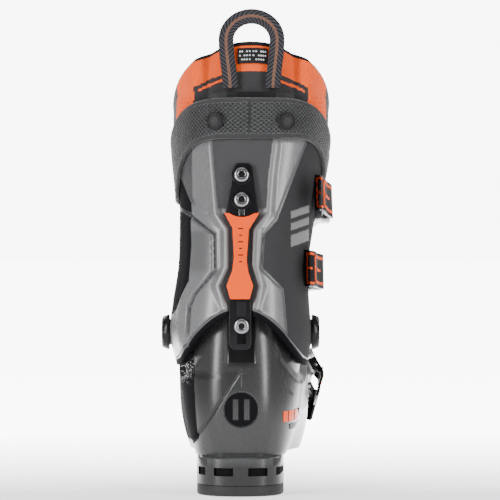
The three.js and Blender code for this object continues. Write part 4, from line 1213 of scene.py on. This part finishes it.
class BOOT_OT_stage(bpy.types.Operator):
    """Builds the pale, glowing floor, the soft lights and the camera"""
    bl_idname = "boot.stage"
    bl_label = "Build Stage"

    def execute(self, context):
        scene = context.scene
        constants = {"Base Color": (0.93, 0.93, 0.93, 1), "Roughness": 0.9, "Specular IOR Level": 0.1,
                     "Emission Color": (1, 1, 1, 1)}
        glowing_floor_finish, tree, shader = new_finish("pale_floor", **constants)
        place = add_node(tree, "ShaderNodeSeparateXYZ", {0: placed_at(tree)}).outputs
        # Painted light: the floor glows, from strength 1 under and before the boot up to 9 beyond it, inside
        # a wedge along the camera's view that fades out to the sides.
        ramp = ranged(tree, place[1], 0.0, 0.7, 1.0, 9.0)
        spread = maths(tree, "DIVIDE", maths(tree, "ABSOLUTE", place[0]),
                       maths(tree, "MAXIMUM", maths(tree, "ADD", place[1], 2.1), 0.5))
        middle = ranged(tree, spread, 0.12, 0.26, 1.0, 0.0)
        tree.links.new(maths(tree, "MULTIPLY", ramp, middle), shader.inputs["Emission Strength"])
        corners = [[x, y, -0.4] for y in (-3e4, 4e4) for x in (-3e4, 3e4)]
        floor = piece("floor", corners, [(0, 1, 3, 2)], glowing_floor_finish)
        world = bpy.data.worlds.new("soft_room")
        world.use_nodes = True
        tree, sky = world.node_tree, world.node_tree.nodes["Background"]
        way = add_node(tree, "ShaderNodeSeparateXYZ",
                       {0: add_node(tree, "ShaderNodeTexCoord").outputs["Generated"]})
        backdrop = ranged(tree, way.outputs[1], 0.93, 0.985, 0.0, 8.0)
        band = ranged(tree, way.outputs[2], 0.1, 0.35, 0.35, 0.09)
        tree.links.new(maths(tree, "ADD", backdrop, band), sky.inputs[1])
        sky.inputs[0].default_value = (1, 1, 1, 1)
        scene.world = world
        for name, at, aim, size, power in (
                ("key", (-1.15, -0.95, 0.6), (0, 0.02, 0.17), (0.22, 1.3), 34),
                ("fill", (1.1, -0.85, 0.5), (0, 0.02, 0.17), (0.2, 1.2), 23),
                ("top", (0, -0.3, 1.5), (0, 0.1, 0.2), (0.8, 0.8), 4),
                ("front_left", (-0.9, 1.3, 1.0), (0, 0.1, 0.15), (0.7, 0.9), 12),
                ("front_right", (1.1, 1.0, 0.9), (0, 0.1, 0.15), (0.6, 0.9), 9)):
            light = bpy.data.lights.new(name, "AREA")
            light.shape = "RECTANGLE"
            light.size, light.size_y = size
            light.energy = power
            lamp = bpy.data.objects.new(name, light)
            lamp.location = at
            lamp.rotation_euler = (Vector(aim) - Vector(at)).to_track_quat("-Z", "Y").to_euler()
            scene.collection.objects.link(lamp)
        camera = bpy.data.cameras.new("camera")
        away = scene.boot_sizes.camera_away
        camera.sensor_width = SENSOR
        camera.lens = SENSOR * (away - BOOT_BACK_Y) / FRAME_WIDTH
        seen = bpy.data.objects.new("camera", camera)
        seen.location = (0.0078, -away, 0.1936)
        seen.rotation_euler = (math.radians(90), 0, 0)
        scene.collection.objects.link(seen)
        scene.camera = seen
        return {"FINISHED"}


# ---------------------------------------------------------------- liner, tongue and boot's soft parts
def behind_spoiler(u):
    return ease((backness(u) - 0.68) / 0.13)


def liner_skin(u, z):
    tucked = -CUFF_WALL - 1.8 - 3.4 * behind_spoiler(u)
    return lerp(tucked, 0, ease((z - cuff_top(u) - 1) / 22) * (1 - behind_spoiler(u)))


def soft_shape(obj, pressure, limit_mm, shrink=-0.02, frames=20):
    """Puffs a cushion up with a short cloth run, with its movement held to a limit."""
    before = np.array([v.co for v in obj.data.vertices], float)
    group = obj.vertex_groups.new(name="held")
    group.add(list(range(len(before))), 0.0, "REPLACE")
    cloth = obj.modifiers.new("puff", "CLOTH")
    cloth.settings.use_pressure = True
    cloth.settings.uniform_pressure_force = pressure
    cloth.settings.vertex_group_mass = "held"
    cloth.settings.shrink_min = shrink
    cloth.settings.effector_weights.gravity = 0
    cloth.settings.tension_stiffness = cloth.settings.compression_stiffness = 12
    cloth.collision_settings.use_collision = False
    cloth.point_cache.frame_start, cloth.point_cache.frame_end = 1, frames
    for at in range(1, frames + 1):
        bpy.context.scene.frame_set(at)
    depsgraph = bpy.context.evaluated_depsgraph_get()
    after = np.array([v.co for v in obj.evaluated_get(depsgraph).data.vertices], float)
    obj.modifiers.clear()
    obj.vertex_groups.clear()
    bpy.context.scene.frame_set(1)
    move = after - before
    far = np.linalg.norm(move, axis=1, keepdims=True)
    move *= np.minimum(1, limit_mm * MM / np.maximum(far, 1e-9))
    obj.data.vertices.foreach_set("co", (before + move).ravel())
    obj.data.update()
    return obj


def liner_outside(u, z):
    """Points of the liner cuff's outside, with stitched quilting."""
    top = liner_top(u)
    down = top - z
    quilting = bump_at(down - 5.0, 5.5) - 0.7 * bump_at(down - 13.5, 1.1)
    free = ease((z - cuff_top(u) - 3) / 8) * (1 - behind_spoiler(u))
    return leg(u, z, liner_skin(u, z) + free * quilting)


class BOOT_OT_liner(bpy.types.Operator):
    """Builds the liner cuff with its piping and bands, and the liner's foot"""
    bl_idname = "boot.liner"
    bl_label = "Build Liner"

    def execute(self, context):
        finishes = need_finishes()
        rows, columns = 180, 300
        w = np.linspace(-1, 1, columns)
        u = 0.411 * signed_power(w, 1.6)
        bottom, top = 163 + 10 * frontness(u), liner_top(u)
        edge = top - 2.0
        outside = [liner_outside(u, lerp(bottom, edge, t)) for t in np.linspace(0, 1, rows)]
        crown, inside = [], []
        for a in np.linspace(0, np.pi, 9)[1:-1]:
            crown.append(leg(u, edge + 2.6 * np.sin(a),
                             liner_skin(u, top) - LINER_WALL / 2 + LINER_WALL / 2 * np.cos(a)))
        for t in np.linspace(0, 1, 50):
            z = lerp(edge, bottom, t)
            inside.append(leg(u, z, liner_skin(u, z) - LINER_WALL))
        grid = np.stack(outside + crown + inside)
        tags = self.tags(grid, u, top, rows, len(crown))
        n, m = grid.shape[:2]
        faces = grid_faces(n, m, close_rows=True, close_columns=False)
        face_tags = list(tags[:, :-1].ravel())
        for c, order in ((0, 1), (m - 1, -1)):
            side = [r * m + c for r in range(n)][::order]
            faces.append(tuple(side))
            face_tags.append(2)
        coverings = [finishes[one] for one in
                     ("liner", "liner_black", "liner_inside", "gloss_black", "label_mark")]
        liner = piece("liner_cuff", grid, faces, coverings, uv=weave_uv(u, grid[..., 2]), tags=face_tags,
                      smooth_angle=50)
        turn_outwards(liner)
        parts = [liner] + self.holes(finishes) + self.label(finishes)
        whole = join(parts, "liner_cuff")
        settle(whole, "cuff", "liner_cuff")
        finish_of("liner_foot", finishes["liner_black"])
        return {"FINISHED"}

    def tags(self, grid, u, top, rows, crown):
        """Which finish each row and column of the liner has."""
        n, m = grid.shape[:2]
        tags = np.full((n, m), 2)
        x, z = grid[..., 0], grid[..., 2]
        down = top[None, :] - z
        out = np.arange(n)[:, None] < rows
        tags[:rows] = 0
        off = np.abs(x - 8)
        curve = 337 - 14 * (off / 47) ** 2 - z
        tags = np.where(out & (curve > 0) & (off < 46), 1, tags)
        tags = np.where(out & (curve > 3.4) & (curve < 5.6) & (off > 16) & (off < 43), 0, tags)
        tags = np.where(out & (down < 3.6), 3, tags)
        tags[rows:rows + crown] = 3
        tags = np.where(out & (np.abs(u[None, :]) > 0.2), 1, tags)
        return tags

    def holes(self, finishes):
        places = []
        for side in (-1, 1):
            for i in range(4):
                for j in range(5):
                    a = side * (0.135 + 0.011 * i + 0.0055 * (j % 2))
                    z = 302 + 3.4 * j
                    skin = float(liner_skin(np.array(a), np.array(z)))
                    out = leg_point(a, z, skin + 1) - leg_point(a, z, skin)
                    places.append((leg_point(a, z, skin + 0.1), out))
        dot = cylinder("dot", (0, 0, -0.3), (0, 0, 0.25), 0.8, finishes["orange"], sides=12)
        return [scattered("liner_dots", places, dot, finishes["orange"])]

    def label(self, finishes):
        """The black label under the top edge, with rows of plain dots."""
        u = np.linspace(-0.026, 0.031, 30)[None, :] + np.zeros((16, 1))
        z = np.linspace(343.5, 356, 16)[:, None] + 0 * u
        z = z + (liner_top(u) - LINER_TOP_Z)
        skin = liner_outside(u, z)
        out = np.stack([0 * u, 0 * u - 1, 0 * u], -1)
        patch = slab("label", skin + out * 1.3, skin - out * 0.4, finishes["label"])
        places = []
        for j in range(3):
            for i in range(11):
                if (i * 7 + j * 3) % 5 == 0:
                    continue
                a = -0.021 + 0.0047 * i
                here = np.array([a])
                spot = liner_outside(here, np.array([346.6 + 3.3 * j]) + liner_top(here) - LINER_TOP_Z)[0]
                places.append((spot + np.array([0, -1.3, 0]), (0, -1, 0.15)))
        dot = cylinder("dot", (0, 0, -0.3), (0, 0, 0.2), 0.75, finishes["label_mark"], sides=10)
        return [patch, scattered("label_dots", places, dot, finishes["label_mark"])]


class BOOT_OT_tongue(bpy.types.Operator):
    """Builds the liner's tongue, a soft pad at the front of the leg"""
    bl_idname = "boot.tongue"
    bl_label = "Build Tongue"

    def execute(self, context):
        finishes = need_finishes()
        rows, columns = 60, 26
        low, high, reach, width = 178, 346, 0.083, 60
        z = np.linspace(low, high, rows)[:, None] + np.zeros((1, columns))
        u = 0.5 + np.linspace(-reach, reach, columns)[None, :] + 0 * z
        across = width * (reach - np.abs(u - 0.5)) / (2 * reach)
        edge = np.minimum(across, np.minimum(z - low, high - z))
        full = 4.4 * np.sqrt(1 - (1 - clamp01(edge / 6)) ** 2)
        middle = -CUFF_WALL - 0.9 - LINER_WALL / 2
        half = np.maximum(full, 0.4)
        pad = slab("tongue", leg(u, z, middle + half), leg(u, z, middle - half), finishes["liner_black"],
                   uv=weave_uv(u, z), smooth_angle=60)
        soft_shape(pad, pressure=3.0, limit_mm=0.6)
        settle(pad, "cuff", "tongue")
        return {"FINISHED"}


class BOOT_OT_strap(bpy.types.Operator):
    """Builds the power strap, its rivets and its loose end, and the tab behind the liner"""
    bl_idname = "boot.strap"
    bl_label = "Build Strap"

    def execute(self, context):
        finishes = need_finishes()
        thick = context.scene.boot_sizes.strap_thick / MM
        columns, rows = 360, 40
        u = np.arange(columns) / columns
        low, high = strap_bottom(u), strap_top(u)
        rings, tags, uvs = [], [], []
        for t in np.linspace(0, 1, rows):
            z = lerp(low, high, t)
            near = min(t, 1 - t) * 40
            drop = 1.1 * edge_drop(near, 2.0) + 0.45 * bump_at(near - 4.2, 0.9)
            rings.append(leg(u, z, STRAP_GAP + thick - drop))
            tags.append(1 if near < 4.4 else 0)
            uvs.append(weave_uv(u, z))
        for z in (high, low):
            rings.append(leg(u, z, STRAP_GAP))
            tags.append(1)
            uvs.append(weave_uv(u, z))
        strap = ring_mesh("power_strap", rings, [finishes["strap"], finishes["strap_edge"]], close_rows=True,
                          uv=np.array(uvs), tags=np.repeat(tags, columns), smooth_angle=60)
        stitches = []
        for a in np.arange(220) / 220:
            for z in (float(strap_bottom(a)) + 4.0, float(strap_top(a)) - 4.0):
                p = leg_point(a, z, STRAP_GAP + thick - 0.35)
                stitches.append((p, leg_point(a, z, 2.6 + thick) - p))
        stitch = cylinder("stitch", (0, 0, -0.2), (0, 0, 0.25), 0.4, finishes["grey"], sides=8)
        seams = scattered("strap_stitches", stitches, stitch, finishes["grey"])
        seats = []
        for a in (-0.17, 0.2):
            for t in np.arange(12) / 11:
                z = lerp(float(strap_bottom(a)) + 4, float(strap_top(a)) - 4, t)
                seats.append((leg_point(a, z, STRAP_GAP + thick - 0.1),
                              leg_point(a, z, 5) - leg_point(a, z, 1)))
        stitch = cylinder("stitch", (0, 0, -0.2), (0, 0, 0.3), 0.6, finishes["grey"], sides=8)
        bars = scattered("strap_bar_stitches", seats, stitch, finishes["grey"])
        whole = join([strap, seams, bars], "power_strap")
        settle(whole, "cuff", "power_strap")
        profile = [(2.4, -8.0), (2.4, 0), (7.3, 0), (7.4, 0.8), (6.9, 1.6), (5.6, 2.0), (5.0, 1.5),
                   (4.2, 1.5), (3.6, 2.0), (1.2, 2.15)]
        for n, a in ((1, -0.0575), (2, 0.0575)):
            foot = leg_point(a, 296)
            out = leg_point(a, 296, 4) - foot
            out = out / np.linalg.norm(out)
            head = turned_piece(f"strap_rivet_{n}", profile, foot + out * (STRAP_GAP + thick + 0.35),
                                out, finishes["black"])
            settle(head, "cuff", f"strap_rivet_{n}")
        self.flap(finishes, thick)
        finish_of("rear_spoiler", finishes["black"])
        return {"FINISHED"}

    def flap(self, finishes, thick):
        rows, columns = 24, 70
        start, end = 0.2905, 0.4195
        u = np.linspace(start, end, columns)[None, :] + np.zeros((rows, 1))
        t = np.linspace(0, 1, rows)[:, None]
        z = lerp(strap_bottom(u) + 6, strap_top(u) - 4, t)
        near = np.minimum(np.minimum(t, 1 - t) * 36, np.minimum(u - start, end - u) * 400)
        drop = 0.8 * edge_drop(near, 1.2)
        outer = slab("strap_end_flap", leg(u, z, thick + 3.8 - drop), leg(u, z, thick + 2.2),
                     finishes["strap"], uv=weave_uv(u, z))
        lining = slab("lining", leg(u, z, thick + 2.2), leg(u, z, thick + 1.4), finishes["lining_orange"],
                      uv=weave_uv(u, z))
        flap = join([outer, lining], "strap_end_flap")
        settle(flap, "cuff", "strap_end_flap")


class BOOT_OT_loops(bpy.types.Operator):
    """Builds the two pull loops of woven webbing"""
    bl_idname = "boot.loops"
    bl_label = "Build Pull Loops"

    def execute(self, context):
        finishes = need_finishes()
        width = context.scene.boot_sizes.webbing_width / MM
        centre = float(leg_point(0, 345)[0])
        back = float(leg_point(0, 323, liner_skin(np.array(0.0), np.array(323.0)))[1])
        front = float(leg_point(0.5, 323, -CUFF_WALL - 0.7)[1])
        for name, half, top, y, thick, lean in (("pull_loop_rear", 20.5, 389.0, back - 4.0, 3.2, 0.2),
                                                ("pull_loop_front", 15.0, 368.0, front + 0.4, 3.0, 0.18)):
            loop = self.loop(name, centre, half, top, y, thick, lean, width, finishes)
            settle(loop, "cuff", name)
        return {"FINISHED"}

    def loop(self, name, centre, half, top, y, thick, lean, width, finishes):
        """A flat band standing up in a rounded arch, with a slightly domed section."""
        foot, middle = LOOP_FOOT_Z, half * 1.25
        bend = top - middle
        path = []
        for i in range(30):
            t = i / 30
            path.append((half * lerp(0.84, 1, ease(t)), lerp(foot, bend, t)))
        for a in np.linspace(0, math.pi, 101):
            path.append((half * math.cos(a), bend + (top - width / 2 - bend) * math.sin(a)))
        for i in range(30):
            t = 1 - (i + 1) / 30
            path.append((-half * lerp(0.84, 1, ease(t)), lerp(foot, bend, t)))
        path = np.array(path)
        tangent = np.gradient(path, axis=0)
        tangent /= np.linalg.norm(tangent, axis=1, keepdims=True)
        out = np.stack([tangent[:, 1], -tangent[:, 0]], 1)
        along = np.concatenate([[0], np.cumsum(np.linalg.norm(np.diff(path, axis=0), axis=1))])
        across = np.concatenate([np.linspace(-1, 1, 15), np.linspace(1, -1, 15)])
        face = np.concatenate([np.full(15, -1.0), np.full(15, 1.0)])
        dome = np.sqrt(np.clip(1 - (0.9 * np.abs(across)) ** 4, 0, 1))
        rings, uvs = [], []
        for (px, pz), o, s in zip(path, out, along):
            w = across * width / 2
            deep = thick / 2 + face * dome * thick / 2
            x = centre + px + o[0] * w
            z = pz + o[1] * w
            rise = z - foot
            rings.append(np.stack([x, y + deep * math.cos(lean) + rise * math.sin(lean),
                                   foot + rise * math.cos(lean) - deep * math.sin(lean)], -1))
            uvs.append(np.stack([across * 0.12, np.full(30, s / 50.0)], -1))
        return ring_mesh(name, rings, finishes["webbing"], uv=np.array(uvs), smooth_angle=50)


# ---------------------------------------------------------------- buckles
def cuff_track(u0, z0, tilt):
    def at(u, offset):
        forward = leg_point(u, z0)[1] - leg_point(u0, z0)[1]
        return leg_point(u, z0 - math.tan(math.radians(tilt)) * forward, offset)
    return at


def shell_track(u0, v0, lean):
    def at(v, offset):
        return shell(np.array(u0 + lean * (v - v0)), np.array(v), np.array(-float(offset)))
    return at


# name, its track, where the hinge is on it, the track's step and how far the lever reaches back
BUCKLES = [("upper_cuff", cuff_track(0.262, 229, 13), 0.262, 0.004, 48),
           ("lower_cuff", cuff_track(0.262, 174, 6), 0.262, 0.004, 48),
           ("instep", shell_track(0.345, 0.6, 0.2), 0.6, 0.01, 36),
           ("toe", shell_track(0.392, 0.46, 0.1), 0.46, 0.01, 36)]


LONG_LEVER = 40
# part of a buckle, its finish, the width of its rounded edges and its slot
BUCKLE_PARTS = [("base", "cast", 0.6, "buckle_metal"), ("cross_pin", "steel", 0.2, "steel"),
                ("rod", "cast", 0.5, "buckle_metal"), ("hook", "cast", 0.35, "buckle_metal"),
                ("ladder", "dark_steel", 0.3, "buckle_metal")]


def lever_axes(track, t0, step):
    """Where a lever's hinge is on its track, and the ways forward, outwards and along the hinge."""
    origin = Vector(track(t0, 0))
    forward = (Vector(track(t0 + step, 0)) - Vector(track(t0 - step, 0))).normalized()
    out = Vector(track(t0, 1)) - origin
    out = (out - forward * out.dot(forward)).normalized()
    return origin, forward, out, out.cross(forward)


def body_with(node):
    parent = frame["nodes"][node].parent
    return next(name for name, empty in frame["bodies"].items() if empty == parent)


class BOOT_OT_buckles(bpy.types.Operator):
    """Builds the four buckles: bases, levers with raised outlines, rods, hooks and ladders"""
    bl_idname = "boot.buckles"
    bl_label = "Build Buckles"

    def execute(self, context):
        finishes = need_finishes()
        for name, track, t0, step, back in BUCKLES:
            node = f"{name}_buckle_lever"
            lever = soften(copy_of(node, node, finishes["gloss_black"]), 0.7, 3)
            marks = self.marks(name, track, t0, step, back, finishes)
            tail = self.tail(track, t0, back, finishes) if back > LONG_LEVER else []
            self.place(join([lever] + marks + tail, node), node, "black_plastic")
            for part, finish, width, slot in BUCKLE_PARTS:
                node = f"{name}_buckle_{part}"
                self.place(soften(copy_of(node, node, finishes[finish]), width), node, slot)
        return {"FINISHED"}

    def place(self, obj, node, slot):
        settle(obj, body_with(node), node)

    def tail(self, track, t0, back, finishes):
        """The lever's tail, which bends down towards the boot, with an outline in the accent colour."""
        reach = 0.09
        ts = np.linspace(t0 - reach, t0, 60)
        origin, forward, _, hinge = lever_axes(track, t0, reach / 60)
        run = np.array([(Vector(track(t, 0)) - origin).dot(forward) for t in ts])

        def plate(f0, f1, h0, h1, lift, thick, finish, edge):
            f, h = np.linspace(f0, f1, 24), np.linspace(h0, h1, 24)
            top, low = np.empty((24, 24, 3)), np.empty((24, 24, 3))
            for i, far in enumerate(f):
                t = float(np.interp(far, run, ts))
                down = ease((-back + 7 - far) / 20)
                high = lerp(8.6, 3.4, down) + lift
                skin, above = track(t, 0), track(t, 1)
                for j, across in enumerate(h):
                    near = min(far - f.min(), f.max() - far, across - h.min(), h.max() - across)
                    drop = edge * edge_drop(near, edge)
                    side = np.array(hinge) * across
                    top[i, j] = skin + (above - skin) * (high - drop) + side
                    low[i, j] = skin + (above - skin) * (high - thick) + side
            return slab("tail", top, low, finish)

        start, end = -back + 4.0, -back - 11.0
        parts = [plate(start, end, -14.5, 14.5, 0.0, 2.0, finishes["gloss_black"], 0.9)]
        bars = [(end + 1.4, end + 3.2, -12.6, 12.6), (start, end + 3.2, -12.6, -10.8),
                (start, end + 3.2, 10.8, 12.6), (start - 3, end + 6.2, -0.9, 0.9)]
        for f0, f1, h0, h1 in bars:
            parts.append(plate(f0, f1, h0, h1, 0.55, 0.9, finishes["orange"], 0.2))
        return parts

    def marks(self, name, track, t0, step, back, finishes):
        """Raised bars on the lever's face: one across the tip, one at each side and a short one between."""
        origin, forward, out, hinge = lever_axes(track, t0, step)
        bm = bmesh.new()
        bm.from_mesh(frame["nodes"][f"{name}_buckle_lever"].data)
        tree = BVHTree.FromBMesh(bm)
        bars = []
        tip, root = 3.2 - back, -19.0 if back > LONG_LEVER else -17.5
        boxes = [(tip, tip + 2.2, -11.2, 11.2), (tip, root, -11.2, -9.2), (tip, root, 9.2, 11.2),
                 (tip + 6, (tip + root) / 2 + 6, -1.0, 1.0)]
        colour = finishes["grey" if name == "toe" else "orange"]
        for f0, f1, h0, h1 in boxes:
            f = np.linspace(f0, f1, 26)
            h = np.linspace(h0, h1, 6 if h1 - h0 < 5 else 26)
            top = np.empty((len(f), len(h), 3))
            for i, j in np.ndindex(len(f), len(h)):
                start = origin + forward * float(f[i]) + hinge * float(h[j]) + out * 70
                hit, *_ = tree.ray_cast(start * MM, -out)
                if hit is None:
                    raise RuntimeError(f"{name}: the lever's face was missed")
                top[i, j] = hit / MM
            up = np.array(out)
            bars.append(slab("bar", top + up * 0.55, top - up * 0.25, colour))
        bm.free()
        return bars


OPERATORS = [BOOT_OT_stage, BOOT_OT_lower_shell, BOOT_OT_soles, BOOT_OT_cuff, BOOT_OT_spine,
             BOOT_OT_cant_dials, BOOT_OT_liner, BOOT_OT_tongue, BOOT_OT_strap, BOOT_OT_loops, BOOT_OT_buckles]


class BOOT_PT_panel(bpy.types.Panel):
    """Lists the boot's operators"""
    bl_idname = "BOOT_PT_panel"
    bl_label = "Ski Boot"
    bl_space_type = "VIEW_3D"
    bl_region_type = "UI"
    bl_category = "Ski Boot"

    def draw(self, context):
        for group in (context.scene.boot_look, context.scene.boot_sizes):
            for name in group.__annotations__:
                self.layout.prop(group, name)
        for one in OPERATORS:
            self.layout.operator(one.bl_idname)


CLASSES = [BootLook, BootSizes, *OPERATORS, BOOT_PT_panel]


def register():
    for one in CLASSES:
        bpy.utils.register_class(one)
    bpy.types.Scene.boot_look = PointerProperty(type=BootLook)
    bpy.types.Scene.boot_sizes = PointerProperty(type=BootSizes)


def unregister():
    del bpy.types.Scene.boot_sizes
    del bpy.types.Scene.boot_look
    for one in reversed(CLASSES):
        bpy.utils.unregister_class(one)


def main():
    register()
    for one in OPERATORS:
        group, name = one.bl_idname.split(".")
        getattr(getattr(bpy.ops, group), name)()


if __name__ == "__main__":
    main()
